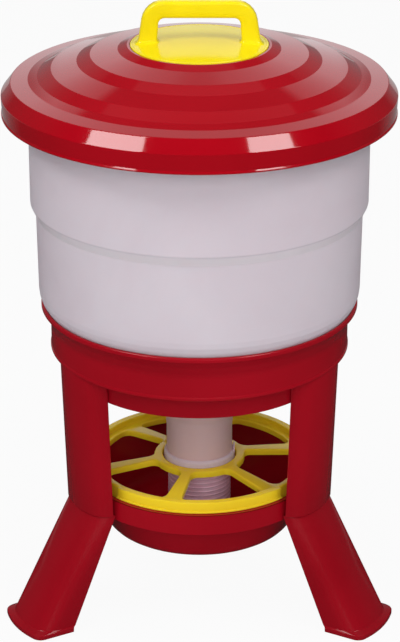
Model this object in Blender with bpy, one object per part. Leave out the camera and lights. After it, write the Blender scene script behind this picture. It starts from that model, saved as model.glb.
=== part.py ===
"""Poultry hopper feeder on three legs.

A translucent hopper drops into a red stand. Feed runs down its neck, through a
metering tube that a collar raises and lowers, and out over a cone into a pan.
A yellow grid keeps the birds from scratching the feed out. The lid lifts off by
its handle. Lengths are in metres, +Z is up and the front looks along -Y.
"""

import math

import bmesh
import bpy
from mathutils import Matrix, Vector

# Facets of the round pieces. Large ones share one count, so that nested walls keep their gaps.
LARGE_STEPS = 40
SMALL_STEPS = 24
SCREW_STEPS = 12
HANDLE_CORNER_STEPS = 5
ARC_STEPS = 3
MERGE_DISTANCE = 0.000001
SHARP_ANGLE = 32.0

# Fits
FIT_GAP = 0.0003
CUT_OVERRUN = 0.002
WELD_OVERLAP = 0.001
POST_COUNT = 3
POST_AZIMUTHS = {"front_left": -60.0, "front_right": 60.0, "rear": 180.0}

# Legs, from the floor to the underside of the posts
LEG_HEIGHT = 0.1297
LEG_SPREAD = 0.0735
LEG_FOOT_DEPTH = 0.0475
LEG_FOOT_HALF_WIDTH = 0.0385
LEG_FOOT_CORNER = 0.020
LEG_TOP_INSET = 0.0015
LEG_TOP_SIDE = 0.00097
LEG_WALL = 0.003
LEG_PLATE_THICKNESS = 0.005
FOOT_LIP_SIDE = 0.002
FOOT_LIP_END = 0.0033
FOOT_LIP_CROWN = 0.110
FOOT_LIP_CORNER = 0.011
FOOT_LIP_THICKNESS = 0.0055
FOOT_LIP_SLOPE = 0.0015
TENON_HEIGHT = 0.038
TENON_WALL = 0.003
TENON_DEPTH = 0.011

# Stand: posts, skirt, band and lip, each set in from what it carries
POST_LENGTH = 0.167
POST_SETBACK = 0.0014
POST_DRAFT = 0.0065
POST_SIDE_TOP = 0.0038
POST_SIDE_BOTTOM = 0.00195
POST_HALF_WIDTH_TOP = 0.0415
POST_HALF_WIDTH_BOTTOM = 0.0425
POST_CROWN_RADIUS = 0.083
POST_CORNER_RADIUS = 0.022
POST_WALL = 0.003
SKIRT_HEIGHT = 0.032
STAND_WALL = 0.0034
BAND_OVERHANG = 0.023
BAND_HEIGHT = 0.021
BAND_EDGE = 0.0012
LIP_SETBACK = 0.0011
LIP_SWELL = 0.010
LIP_HEIGHT = 0.029
LIP_TOP_WIDTH = 0.0032
LIP_CURVE_SHARES = ((1.0, 0.86), (0.97, 0.72), (0.76, 0.56), (0.38, 0.38), (0.08, 0.22))
SEAT_WIDTH = 0.0075
SEAT_DEPTH = 0.004

# Feed pan, hung between the posts
PAN_RIM_RISE = 0.016
PAN_POST_STEP = 0.0225
PAN_RIM_DEPTH = 0.021
PAN_RIM_WALL = 0.0025
PAN_RIM_EDGE = 0.001
PAN_RIM_WIDTH = 0.007
PAN_BOWL_DRAFT = 0.0275
PAN_DEPTH = 0.067
PAN_WALL = 0.003
PAN_FLOOR_FILLET = 0.014
CONE_RADIUS = 0.030
CONE_HEIGHT = 0.026

# Screws that hold pan, leg and post together
LEG_SCREW_DROP = 0.0105
LEG_SCREW_BOSS_RADIUS = 0.005
LEG_SCREW_SEAT_STEP = 0.0022
LEG_SCREW_RADIUS = 0.002
LEG_SCREW_BITE = 0.010
LEG_SCREW_HEAD_RADIUS = 0.0042
LEG_SCREW_HEAD_HEIGHT = 0.0028
SCREW_TIP = 0.002
SCREW_CROWN_SHARE = 0.75
SCREW_RECESS_RADIUS = 0.0016
SCREW_RECESS_DEPTH = 0.0014

# Feed grid
GRID_RIM_CLEARANCE = 0.003
GRID_RIM_WIDTH = 0.006
GRID_RIM_RISE = 0.0147
GRID_RIM_EDGE = 0.0015
GRID_LIP_WIDTH = 0.005
GRID_LIP_THICKNESS = 0.002
GRID_LIP_HALF_ANGLE = 45.0
GRID_DECK_RISE = 0.0022
GRID_DECK_THICKNESS = 0.006
GRID_LEDGE_WIDTH = 0.008
GRID_HUB_GAP = 0.0006
GRID_HUB_WIDTH = 0.0155
GRID_SPOKES = 6
GRID_SPOKE_AZIMUTH = -15.6
GRID_SPOKE_WIDTH_HUB = 0.010
GRID_SPOKE_WIDTH_RIM = 0.018
GRID_WINDOW_FILLET_SHARE = 0.171

# Hopper, set in from the lid that hangs over it
HOPPER_WALL = 0.003
SHOULDER_RISE = 0.0165
SHOULDER_RADIUS = 0.030
HOPPER_DRAFT = 0.0005
HOPPER_LOWER_HEIGHT = 0.0865
HOPPER_STEP_WIDTH = 0.0058
HOPPER_STEP_HEIGHT = 0.012
HOPPER_UPPER_HEIGHT = 0.129
HOPPER_FLANGE_INSET = 0.0015
HOPPER_FLANGE_THICKNESS = 0.003
HOPPER_CONE_ANGLE = 42.0
NECK_RADIUS = 0.0378
NECK_WALL = 0.0022
NECK_FILLET = 0.045
NECK_FILLET_STEPS = 4
NECK_STANDOFF = 0.003

# Regulator
RING_HEIGHT = 0.0097
RING_WALL = 0.0021
RING_RUNNING_GAP = 0.0004
RING_LEDGE = 0.0022
SNAP_DEPTH = 0.0009
SNAP_HEIGHT = 0.0016
SNAP_LEVEL_SHARE = 0.42
TAB_WIDTH = 0.012
TAB_THICKNESS = 0.0014
TAB_RISE = 0.007
TUBE_RUNNING_GAP = 0.0004
TUBE_WALL = 0.0025
TUBE_RIB_DEPTH = 0.0012
TUBE_RIB_PITCH = 0.005
TUBE_RIB_COUNT = 9
TUBE_ENGAGEMENT = 0.030
FEED_GAP = 0.021

# Lid. The rings of the dome are shares of its radius and of its rise.
LID_RADIUS = 0.2088
LID_OVERHANG = 0.028
LID_WALL = 0.0025
LID_DOME_RISE = 0.0372
LID_RING_SHARES = (
    (0.3573, 1.0),
    (0.410, 0.906),
    (0.5484, 0.737),
    (0.6154, 0.589),
    (0.7466, 0.352),
    (0.8123, 0.156),
    (0.9464, 0.0),
)
LID_EDGE_DROP = 0.0133
LID_EDGE_SHARES = ((0.40, 0.13), (0.71, 0.38), (0.91, 0.70))
LID_RIDGE_STEP = 0.0012
LID_SKIRT_DROP = 0.021
LID_LIP_HEIGHT = 0.003
LID_RECESS_DEPTH = 0.0017
LID_RECESS_GAP = 0.0006

# Handle of the lid
DISC_INSET = 0.0021
DISC_THICKNESS = 0.0023
DISC_EDGE = 0.0008
HANDLE_INSET = 0.010
HANDLE_HEIGHT = 0.0464
HANDLE_FOOT_WIDTH = 0.018
HANDLE_WAIST_HEIGHT = 0.020
HANDLE_WAIST_DRAFT = 0.0035
HANDLE_WAIST_WIDTH = 0.016
HANDLE_TOP_DRAFT = 0.006
HANDLE_TOP_WIDTH = 0.014
HANDLE_CORNER_RADIUS = 0.024
HANDLE_INNER_CORNER = 0.007
HANDLE_BAR_HEIGHT = 0.015
HANDLE_BAR_DEPTH = 0.014
HANDLE_BAR_ROUND = 0.0035
HANDLE_ROUND_STEPS = 2
HANDLE_SCREW_INSET = 0.009
HANDLE_SCREW_RADIUS = 0.002
HANDLE_SCREW_BITE = 0.014
HANDLE_SCREW_HEAD_RADIUS = 0.004
HANDLE_SCREW_HEAD_HEIGHT = 0.0026
WASHER_RADIUS = 0.007
WASHER_THICKNESS = 0.001
SCREW_HOLE_CLEARANCE = 0.0003

# Colours, as linear values
RED_PLASTIC = (0.42, 0.008, 0.017, 1.0)
LID_RED_PLASTIC = (0.50, 0.007, 0.014, 1.0)
YELLOW_PLASTIC = (0.85, 0.62, 0.01, 1.0)
HOPPER_PLASTIC = (0.72, 0.66, 0.68, 1.0)
ZINC = (0.62, 0.62, 0.60, 1.0)


# Radii worked out from the lid inwards
hopper_upper_radius = LID_RADIUS - LID_OVERHANG
hopper_lower_radius = hopper_upper_radius - HOPPER_STEP_WIDTH
hopper_base_radius = hopper_lower_radius - HOPPER_DRAFT
lip_radius = hopper_base_radius - LIP_SETBACK
band_radius = lip_radius - LIP_SWELL
skirt_radius = band_radius - BAND_OVERHANG
post_reach_top = band_radius - POST_SETBACK
post_reach_bottom = post_reach_top - POST_DRAFT
leg_foot_reach = post_reach_bottom + LEG_SPREAD
leg_foot_inner = leg_foot_reach - LEG_FOOT_DEPTH
pan_rim_radius = post_reach_bottom - PAN_POST_STEP
pan_mouth_radius = pan_rim_radius - PAN_RIM_WIDTH
pan_floor_radius = pan_mouth_radius - PAN_BOWL_DRAFT
grid_rim_radius = pan_mouth_radius - GRID_RIM_CLEARANCE
tube_radius = NECK_RADIUS - NECK_WALL - TUBE_RUNNING_GAP
disc_radius = LID_RADIUS * LID_RING_SHARES[0][0] - DISC_INSET
handle_foot_outer = disc_radius - HANDLE_INSET
handle_waist_outer = handle_foot_outer - HANDLE_WAIST_DRAFT
handle_top_outer = handle_foot_outer - HANDLE_TOP_DRAFT

# Levels and places worked out from the sizes above
post_bottom_z = LEG_HEIGHT
band_bottom_z = post_bottom_z + POST_LENGTH
band_top_z = band_bottom_z + BAND_HEIGHT
lip_top_z = band_top_z + LIP_HEIGHT
skirt_bottom_z = band_bottom_z - SKIRT_HEIGHT

pan_top_z = post_bottom_z + PAN_RIM_RISE
pan_floor_z = pan_top_z - PAN_DEPTH + PAN_WALL
leg_screw_z = pan_top_z - LEG_SCREW_DROP

grid_lip_z = pan_top_z + FIT_GAP
grid_deck_top_z = grid_lip_z + GRID_DECK_RISE
neck_bottom_z = grid_deck_top_z + NECK_STANDOFF
ring_bottom_z = neck_bottom_z - RING_LEDGE - FIT_GAP
ring_top_z = ring_bottom_z + RING_HEIGHT + RING_LEDGE
ring_radius = NECK_RADIUS + RING_RUNNING_GAP + RING_WALL
grid_hub_bore = ring_radius + GRID_HUB_GAP

cone_angle = math.radians(HOPPER_CONE_ANGLE)
shoulder_z = lip_top_z + SHOULDER_RISE
shoulder_centre = hopper_base_radius - SHOULDER_RADIUS
cone_top_radius = shoulder_centre + SHOULDER_RADIUS * math.sin(cone_angle)
cone_top_z = shoulder_z - SHOULDER_RADIUS * math.cos(cone_angle)
cone_bottom_radius = NECK_RADIUS + NECK_FILLET * (1 - math.sin(cone_angle))
cone_bottom_z = cone_top_z - (cone_top_radius - cone_bottom_radius) * math.tan(cone_angle)
neck_top_z = cone_bottom_z - NECK_FILLET * math.cos(cone_angle)
hopper_rim_z = shoulder_z + HOPPER_LOWER_HEIGHT + HOPPER_STEP_HEIGHT + HOPPER_UPPER_HEIGHT

lid_terrace_start = LID_RADIUS * LID_RING_SHARES[-2][0]
lid_terrace_end = LID_RADIUS * LID_RING_SHARES[-1][0]
lid_terrace_slope = LID_DOME_RISE * LID_RING_SHARES[-2][1] / (lid_terrace_end - lid_terrace_start)
lid_wall_drop = LID_WALL * math.hypot(1, lid_terrace_slope)
hopper_flange_radius = lid_terrace_end - HOPPER_FLANGE_INSET
lid_datum_z = hopper_rim_z + FIT_GAP + lid_wall_drop - HOPPER_FLANGE_INSET * lid_terrace_slope
lid_crest_z = lid_datum_z + LID_DOME_RISE
plateau_z = lid_crest_z - LID_RECESS_DEPTH
disc_bottom_z = plateau_z + FIT_GAP
disc_top_z = disc_bottom_z + DISC_THICKNESS

foot_reach = leg_foot_reach + FOOT_LIP_END
axis_y = (LID_RADIUS - foot_reach) / 2


# Tools that more than one piece uses
def clear_scene():
    for item in list(bpy.data.objects):
        bpy.data.objects.remove(item, do_unlink=True)


def plastic(name, colour, roughness, metallic=0.0):
    surface = bpy.data.materials.new(name)
    surface.use_nodes = True
    shader = surface.node_tree.nodes["Principled BSDF"]
    shader.inputs["Base Color"].default_value = colour
    shader.inputs["Roughness"].default_value = roughness
    shader.inputs["Metallic"].default_value = metallic
    surface.diffuse_color = colour
    return surface


def finish_mesh(name, shape):
    bmesh.ops.remove_doubles(shape, verts=shape.verts, dist=MERGE_DISTANCE)
    bmesh.ops.recalc_face_normals(shape, faces=shape.faces)
    mesh = bpy.data.meshes.new(name)
    shape.to_mesh(mesh)
    shape.free()
    mesh.shade_smooth()
    mesh.set_sharp_from_angle(angle=math.radians(SHARP_ANGLE))
    return mesh


def turned_mesh(name, outline, steps):
    """Turn a closed outline of (radius, height) points about the Z axis."""
    shape = bmesh.new()
    corners = [shape.verts.new((radius, 0, height)) for radius, height in outline]
    edges = []
    for index, corner in enumerate(corners):
        following = corners[(index + 1) % len(corners)]
        if corner.co.x > MERGE_DISTANCE or following.co.x > MERGE_DISTANCE:
            edges.append(shape.edges.new((corner, following)))
    bmesh.ops.spin(
        shape,
        geom=corners + edges,
        axis=(0, 0, 1),
        cent=(0, 0, 0),
        angle=math.tau,
        steps=steps,
    )
    return finish_mesh(name, shape)


def lofted_mesh(name, sections):
    """Join closed sections of equal count by quads and cap both ends."""
    shape = bmesh.new()
    loops = [[shape.verts.new(point) for point in section] for section in sections]
    for lower, upper in zip(loops, loops[1:]):
        for index in range(len(lower)):
            following = (index + 1) % len(lower)
            shape.faces.new((lower[index], lower[following], upper[following], upper[index]))
    shape.faces.new(loops[0])
    shape.faces.new(loops[-1])
    return finish_mesh(name, shape)


def prism_mesh(name, outline, bottom, top):
    lower = [(x, y, bottom) for x, y in outline]
    upper = [(x, y, top) for x, y in outline]
    return lofted_mesh(name, [lower, upper])


def arc_points(centre, radius, start, end, steps):
    """Points of an arc in a plane, both ends included, angles in radians."""
    points = []
    for step in range(steps + 1):
        angle = start + (end - start) * step / steps
        points.append((centre[0] + radius * math.cos(angle), centre[1] + radius * math.sin(angle)))
    return points


def rounded_corners(corners, fillets, steps):
    """Replace each corner of a closed outline by an arc; a fillet of zero keeps the corner."""
    points = []
    count = len(corners)
    for index, (corner, fillet) in enumerate(zip(corners, fillets)):
        if fillet <= 0:
            points.append(corner)
            continue
        here = Vector(corner)
        before = (Vector(corners[index - 1]) - here).normalized()
        after = (Vector(corners[(index + 1) % count]) - here).normalized()
        half_angle = before.angle(after) / 2
        reach = fillet / math.tan(half_angle)
        centre = here + (before + after).normalized() * (fillet / math.sin(half_angle))
        start = here + before * reach - centre
        end = here + after * reach - centre
        turn = start.angle(end)
        side = math.copysign(1, start.x * end.y - start.y * end.x)
        for step in range(steps + 1):
            angle = side * turn * step / steps
            swung = Matrix.Rotation(angle, 2) @ start
            points.append(tuple(centre + swung))
    return points


def offset_inwards(outline, thickness):
    """Move an open outline to its left by a wall's thickness, with mitred corners."""
    points = []
    for index, corner in enumerate(outline):
        here = Vector(corner)
        directions = []
        if index > 0:
            directions.append((here - Vector(outline[index - 1])).normalized())
        if index < len(outline) - 1:
            directions.append((Vector(outline[index + 1]) - here).normalized())
        normals = [Vector((-way.y, way.x)) for way in directions]
        mean = sum(normals, Vector((0, 0))).normalized()
        points.append(tuple(here + mean * (thickness / mean.dot(normals[0]))))
    return points


def azimuth_turn(degrees):
    """Rotation that takes +X to an azimuth counted from the front (-Y), + to the right."""
    return math.radians(degrees - 90.0)


def set_piece(name, mesh, surface, parent, turn=0.0):
    mesh.materials.clear()
    mesh.materials.append(surface)
    piece = bpy.data.objects.new(name, mesh)
    bpy.context.scene.collection.objects.link(piece)
    piece.parent = parent
    piece.rotation_euler.z = turn
    return piece


def set_tool(name, mesh, parent, turn=0.0):
    tool = bpy.data.objects.new(name, mesh)
    bpy.context.scene.collection.objects.link(tool)
    tool.parent = parent
    tool.rotation_euler.z = turn
    tool.hide_render = True
    tool.display_type = "WIRE"
    return tool


def combine(piece, tool, operation):
    change = piece.modifiers.new(tool.name, "BOOLEAN")
    change.operation = operation
    change.solver = "EXACT"
    change.object = tool


def settled_mesh(name, piece):
    """The mesh of a piece with its modifiers applied, for pieces that repeat."""
    graph = bpy.context.evaluated_depsgraph_get()
    mesh = bpy.data.meshes.new_from_object(piece.evaluated_get(graph))
    mesh.name = name
    bpy.data.objects.remove(piece, do_unlink=True)
    return mesh


def rod_mesh(name, radius, start, end, steps):
    """A plain round rod along +X from start to end."""
    ring = arc_points((0, 0), radius, 0, math.tau * (steps - 1) / steps, steps - 1)
    lower = [(start, y, z) for y, z in ring]
    upper = [(end, y, z) for y, z in ring]
    return lofted_mesh(name, [lower, upper])


def corner_centre(reach, half_width, crown_radius, corner_radius):
    """Centre of the arc that joins a channel's crowned front to its straight side."""
    across = half_width - corner_radius
    return reach - crown_radius + math.sqrt((crown_radius - corner_radius) ** 2 - across**2), across


def channel_outline(inner, reach, half_width, wall, crown_radius, corner_radius):
    """Plan of a post or leg: a crowned channel, open towards the feeder's axis."""
    def shell(outer_reach, width, crown, corner):
        crown_centre = outer_reach - crown
        corner_u, corner_v = corner_centre(outer_reach, width, crown, corner)
        crown_half = math.atan2(corner_v, corner_u - crown_centre)
        side = [(inner, width)]
        side += arc_points((corner_u, corner_v), corner, math.pi / 2, crown_half, ARC_STEPS)
        side += arc_points((crown_centre, 0), crown, crown_half, 0, ARC_STEPS)[1:]
        return side + [(u, -v) for u, v in reversed(side[:-1])]

    outer = shell(reach, half_width, crown_radius, corner_radius)
    hollow = shell(reach - wall, half_width - wall, crown_radius - wall, corner_radius - wall)
    return outer + list(reversed(hollow))


def at_height(outline, height):
    return [(u, v, height) for u, v in outline]


# Stand: ring turned from lip to skirt, with three channel posts and their screw bosses
def post_section(height):
    share = (height - post_bottom_z) / POST_LENGTH
    reach = post_reach_bottom + (post_reach_top - post_reach_bottom) * share
    side = POST_SIDE_BOTTOM + (POST_SIDE_TOP - POST_SIDE_BOTTOM) * share
    half_width = POST_HALF_WIDTH_BOTTOM + (POST_HALF_WIDTH_TOP - POST_HALF_WIDTH_BOTTOM) * share
    inner = corner_centre(reach, half_width, POST_CROWN_RADIUS, POST_CORNER_RADIUS)[0] - side
    plan = channel_outline(
        inner, reach, half_width, POST_WALL, POST_CROWN_RADIUS, POST_CORNER_RADIUS
    )
    return at_height(plan, height)


def hopper_cone_z(radius):
    return cone_top_z - (cone_top_radius - radius) * math.tan(cone_angle)


def stand_outline():
    band_inner = band_radius - STAND_WALL
    seat_inner = band_inner - SEAT_WIDTH
    seat_gap = FIT_GAP / math.cos(cone_angle)
    shelf_top_z = band_bottom_z + STAND_WALL
    lip_inner = lip_radius - LIP_TOP_WIDTH
    outline = [(lip_radius - BAND_EDGE, lip_top_z)]
    for swell_share, height_share in LIP_CURVE_SHARES:
        outline.append((band_radius + LIP_SWELL * swell_share, band_top_z + LIP_HEIGHT * height_share))
    outline += [
        (band_radius, band_top_z),
        (band_radius, band_bottom_z + BAND_EDGE),
        (band_radius - BAND_EDGE, band_bottom_z),
        (skirt_radius, band_bottom_z),
        (skirt_radius, skirt_bottom_z),
        (skirt_radius - STAND_WALL, skirt_bottom_z),
        (skirt_radius - STAND_WALL, shelf_top_z),
        (band_inner, shelf_top_z),
        (band_inner, hopper_cone_z(seat_inner) - SEAT_DEPTH - SEAT_WIDTH),
        (seat_inner, hopper_cone_z(seat_inner) - SEAT_DEPTH),
        (seat_inner, hopper_cone_z(seat_inner) - seat_gap),
        (cone_top_radius, hopper_cone_z(cone_top_radius) - seat_gap),
        (lip_inner, lip_top_z - BAND_EDGE),
        (lip_inner + BAND_EDGE, lip_top_z),
    ]
    return outline


def boss_inner_u():
    return pan_rim_radius + FIT_GAP + TENON_WALL + FIT_GAP


def leg_screw_end_u():
    return boss_inner_u() + LEG_SCREW_BITE


def make_post():
    top_z = band_bottom_z + STAND_WALL - WELD_OVERLAP
    sections = [post_section(post_bottom_z), post_section(top_z)]
    post = set_tool("post_shape", lofted_mesh("post_shape", sections), None)
    boss_outer_u = post_reach_bottom - POST_WALL + WELD_OVERLAP
    boss_mesh = rod_mesh("post_boss", LEG_SCREW_BOSS_RADIUS, boss_inner_u(), boss_outer_u, SCREW_STEPS)
    hole_radius = LEG_SCREW_RADIUS + SCREW_HOLE_CLEARANCE
    hole_start = boss_inner_u() - CUT_OVERRUN
    hole_end = leg_screw_end_u() + CUT_OVERRUN
    hole_mesh = rod_mesh("post_screw_hole", hole_radius, hole_start, hole_end, SCREW_STEPS)
    boss = set_tool("post_boss", boss_mesh, None)
    hole = set_tool("post_screw_hole", hole_mesh, None)
    boss.location.z = leg_screw_z
    hole.location.z = leg_screw_z
    bpy.context.view_layer.update()
    combine(post, boss, "UNION")
    combine(post, hole, "DIFFERENCE")
    mesh = settled_mesh("post", post)
    bpy.data.objects.remove(boss, do_unlink=True)
    bpy.data.objects.remove(hole, do_unlink=True)
    return mesh


def make_stand(parent, surface):
    ring_mesh = turned_mesh("stand_frame", stand_outline(), LARGE_STEPS)
    stand = set_piece("stand_frame", ring_mesh, surface, parent)
    post_mesh = make_post()
    for side, azimuth in POST_AZIMUTHS.items():
        post = set_tool("post_" + side, post_mesh, parent, azimuth_turn(azimuth))
        combine(stand, post, "UNION")
    return stand


# Legs: a channel that leans outwards, a lipped foot, and a tenon that plugs into the post
def tenon_side(inner_u, web_u):
    """Half of the tenon's plan: it follows the post's inner corner and opens outwards."""
    centre = corner_centre(
        post_reach_bottom, POST_HALF_WIDTH_BOTTOM, POST_CROWN_RADIUS, POST_CORNER_RADIUS
    )
    centre_u = centre[0]
    outer_radius = POST_CORNER_RADIUS - POST_WALL - FIT_GAP * 2
    inner_radius = outer_radius - TENON_WALL
    outer_start = math.acos((inner_u - centre_u) / outer_radius)
    turn_end = math.acos((inner_u + TENON_DEPTH - centre_u) / outer_radius)
    inner_end = math.acos((web_u - centre_u) / inner_radius)
    side = arc_points(centre, outer_radius, outer_start, turn_end, ARC_STEPS)
    side += arc_points(centre, inner_radius, turn_end, inner_end, ARC_STEPS)
    return side


def make_leg_mesh():
    top_z = post_bottom_z - FIT_GAP
    top_reach = post_reach_bottom - LEG_TOP_INSET
    top_half_width = POST_HALF_WIDTH_BOTTOM - LEG_TOP_INSET
    top_corner = corner_centre(top_reach, top_half_width, POST_CROWN_RADIUS, POST_CORNER_RADIUS)
    top_inner = top_corner[0] - LEG_TOP_SIDE
    lip_half_width = LEG_FOOT_HALF_WIDTH + FOOT_LIP_SIDE
    top = channel_outline(
        top_inner, top_reach, top_half_width, LEG_WALL, POST_CROWN_RADIUS, POST_CORNER_RADIUS
    )
    foot = channel_outline(
        leg_foot_inner,
        leg_foot_reach,
        LEG_FOOT_HALF_WIDTH,
        LEG_WALL,
        POST_CROWN_RADIUS,
        LEG_FOOT_CORNER,
    )
    lip = channel_outline(
        leg_foot_inner, foot_reach, lip_half_width, LEG_WALL, FOOT_LIP_CROWN, FOOT_LIP_CORNER
    )
    outer_count = len(foot) // 2
    lipped = lip[:outer_count] + foot[outer_count:]
    lip_top_height = FOOT_LIP_THICKNESS + FOOT_LIP_SLOPE

    def leaning(height):
        share = height / top_z
        return [
            (low[0] + (high[0] - low[0]) * share, low[1] + (high[1] - low[1]) * share)
            for low, high in zip(foot, top)
        ]

    lipped_top = lipped[:outer_count] + leaning(FOOT_LIP_THICKNESS)[outer_count:]
    sections = [
        at_height(lipped, 0.0),
        at_height(lipped_top, FOOT_LIP_THICKNESS),
        at_height(leaning(lip_top_height), lip_top_height),
        at_height(top, top_z),
    ]
    leg = set_tool("leg_shape", lofted_mesh("leg_shape", sections), None)

    plate_inner = pan_rim_radius + FIT_GAP
    plate_bottom_z = top_z - LEG_PLATE_THICKNESS
    plate_outline = [
        (max(u, plate_inner), v)
        for u, v in channel_outline(
            plate_inner,
            top_reach - LEG_WALL / 2,
            top_half_width - LEG_WALL / 2,
            LEG_WALL,
            POST_CROWN_RADIUS,
            POST_CORNER_RADIUS,
        )[:outer_count]
    ]
    plate = set_tool("leg_plate", prism_mesh("leg_plate", plate_outline, plate_bottom_z, top_z), None)

    web_u = plate_inner + TENON_WALL
    tenon_outline = tenon_side(plate_inner, web_u)
    tenon_outline += [(u, -v) for u, v in reversed(tenon_outline)]
    tenon_top_z = top_z + TENON_HEIGHT
    tenon_base_z = top_z - WELD_OVERLAP
    tenon_mesh = prism_mesh("leg_tenon", tenon_outline, tenon_base_z, tenon_top_z)
    tenon = set_tool("leg_tenon", tenon_mesh, None)

    hole_radius = LEG_SCREW_RADIUS + SCREW_HOLE_CLEARANCE
    hole_start = plate_inner - CUT_OVERRUN
    hole_end = web_u + CUT_OVERRUN
    hole_mesh = rod_mesh("leg_screw_hole", hole_radius, hole_start, hole_end, SCREW_STEPS)
    hole = set_tool("leg_screw_hole", hole_mesh, None)
    hole.location.z = leg_screw_z
    bpy.context.view_layer.update()
    combine(leg, plate, "UNION")
    combine(leg, tenon, "UNION")
    combine(leg, hole, "DIFFERENCE")
    mesh = settled_mesh("leg", leg)
    for tool in (plate, tenon, hole):
        bpy.data.objects.remove(tool, do_unlink=True)
    return mesh


def make_legs(parent, surface):
    mesh = make_leg_mesh()
    for side, azimuth in POST_AZIMUTHS.items():
        set_piece("leg_" + side, mesh, surface, parent, azimuth_turn(azimuth))


# Feed pan: a bowl with an overhanging rim, a cone in its middle and three screw bosses
def pan_wall_radius(height):
    """Inner radius of the bowl's straight wall."""
    share = (height - pan_floor_z) / (pan_top_z - pan_floor_z)
    return pan_floor_radius + PAN_BOWL_DRAFT * share


def pan_outline():
    bottom_z = pan_floor_z - PAN_WALL
    rim_bottom_z = pan_top_z - PAN_RIM_DEPTH
    roof_z = pan_top_z - PAN_WALL
    lean = math.atan2(PAN_BOWL_DRAFT, pan_top_z - pan_floor_z)
    wall_out = PAN_WALL / math.cos(lean)
    cone_shift = PAN_WALL * CONE_RADIUS / CONE_HEIGHT
    bowl_corners = [
        (pan_wall_radius(roof_z) + wall_out, roof_z),
        (pan_floor_radius + wall_out, bottom_z),
        (CONE_RADIUS - cone_shift, bottom_z),
    ]
    outer_turn = rounded_corners(
        bowl_corners,
        (0, PAN_FLOOR_FILLET + PAN_WALL, 0),
        ARC_STEPS,
    )
    inner_corners = [
        (CONE_RADIUS, pan_floor_z),
        (pan_floor_radius, pan_floor_z),
        (pan_mouth_radius, pan_top_z - PAN_RIM_EDGE),
    ]
    inner_turn = rounded_corners(inner_corners, (0, PAN_FLOOR_FILLET, 0), ARC_STEPS)
    outline = [
        (pan_rim_radius - PAN_RIM_EDGE, pan_top_z),
        (pan_rim_radius, pan_top_z - PAN_RIM_EDGE),
        (pan_rim_radius, rim_bottom_z),
        (pan_rim_radius - PAN_RIM_WALL, rim_bottom_z),
        (pan_rim_radius - PAN_RIM_WALL, roof_z),
    ]
    outline += outer_turn
    outline += [(0, bottom_z + CONE_HEIGHT - PAN_WALL), (0, pan_floor_z + CONE_HEIGHT)]
    outline += inner_turn
    outline.append((pan_mouth_radius + PAN_RIM_EDGE, pan_top_z))
    return outline


def leg_screw_seat_u():
    """Where the screw's head seats, just inside the bowl's wall."""
    return pan_wall_radius(leg_screw_z) - LEG_SCREW_SEAT_STEP


def make_pan(parent, surface):
    pan = set_piece("feed_pan", turned_mesh("feed_pan", pan_outline(), LARGE_STEPS), surface, parent)
    boss_end_u = pan_rim_radius - PAN_RIM_WALL / 2
    boss_mesh = rod_mesh("pan_boss", LEG_SCREW_BOSS_RADIUS, leg_screw_seat_u(), boss_end_u, SCREW_STEPS)
    hole_radius = LEG_SCREW_RADIUS + SCREW_HOLE_CLEARANCE
    hole_start = leg_screw_seat_u() - CUT_OVERRUN
    hole_end = pan_rim_radius + CUT_OVERRUN
    hole_mesh = rod_mesh("pan_screw_hole", hole_radius, hole_start, hole_end, SCREW_STEPS)
    for side, azimuth in POST_AZIMUTHS.items():
        boss = set_tool("pan_boss_" + side, boss_mesh, parent, azimuth_turn(azimuth))
        boss.location.z = leg_screw_z
        combine(pan, boss, "UNION")
    for side, azimuth in POST_AZIMUTHS.items():
        hole = set_tool("pan_screw_hole_" + side, hole_mesh, parent, azimuth_turn(azimuth))
        hole.location.z = leg_screw_z
        combine(pan, hole, "DIFFERENCE")
    return pan


# Screws: a pan head with a round recess and a pointed shank, modelled along +X
def screw_outline(length, shank_radius, head_radius, head_height):
    """Outline turned about Z: the head below zero, the shank above."""
    return [
        (0, length),
        (shank_radius, length - SCREW_TIP),
        (shank_radius, 0),
        (head_radius, 0),
        (head_radius, -head_height / 2),
        (head_radius * SCREW_CROWN_SHARE, -head_height),
        (SCREW_RECESS_RADIUS, -head_height),
        (0, -head_height + SCREW_RECESS_DEPTH),
    ]


def make_leg_screws(parent, surface):
    length = leg_screw_end_u() - leg_screw_seat_u()
    outline = screw_outline(length, LEG_SCREW_RADIUS, LEG_SCREW_HEAD_RADIUS, LEG_SCREW_HEAD_HEIGHT)
    mesh = turned_mesh("leg_screw", outline, SCREW_STEPS)
    lay_down = Matrix.Rotation(math.pi / 2, 4, "Y")
    mesh.transform(lay_down)
    mesh.transform(Matrix.Translation((leg_screw_seat_u() - FIT_GAP, 0, leg_screw_z)))
    for side, azimuth in POST_AZIMUTHS.items():
        set_piece("leg_screw_" + side, mesh, surface, parent, azimuth_turn(azimuth))


# Feed grid: a rim that drops into the pan, a deck with six windows, and three lip sections
def grid_outline():
    deck_bottom_z = grid_deck_top_z - GRID_DECK_THICKNESS
    rim_top_z = grid_lip_z + GRID_RIM_RISE
    rim_inner = grid_rim_radius - GRID_RIM_WIDTH
    return [
        (grid_rim_radius, rim_top_z - GRID_RIM_EDGE),
        (grid_rim_radius, deck_bottom_z),
        (grid_hub_bore, deck_bottom_z),
        (grid_hub_bore, grid_deck_top_z),
        (rim_inner, grid_deck_top_z),
        (rim_inner, rim_top_z - GRID_RIM_EDGE),
        (rim_inner + GRID_RIM_EDGE, rim_top_z),
        (grid_rim_radius - GRID_RIM_EDGE, rim_top_z),
    ]


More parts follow.
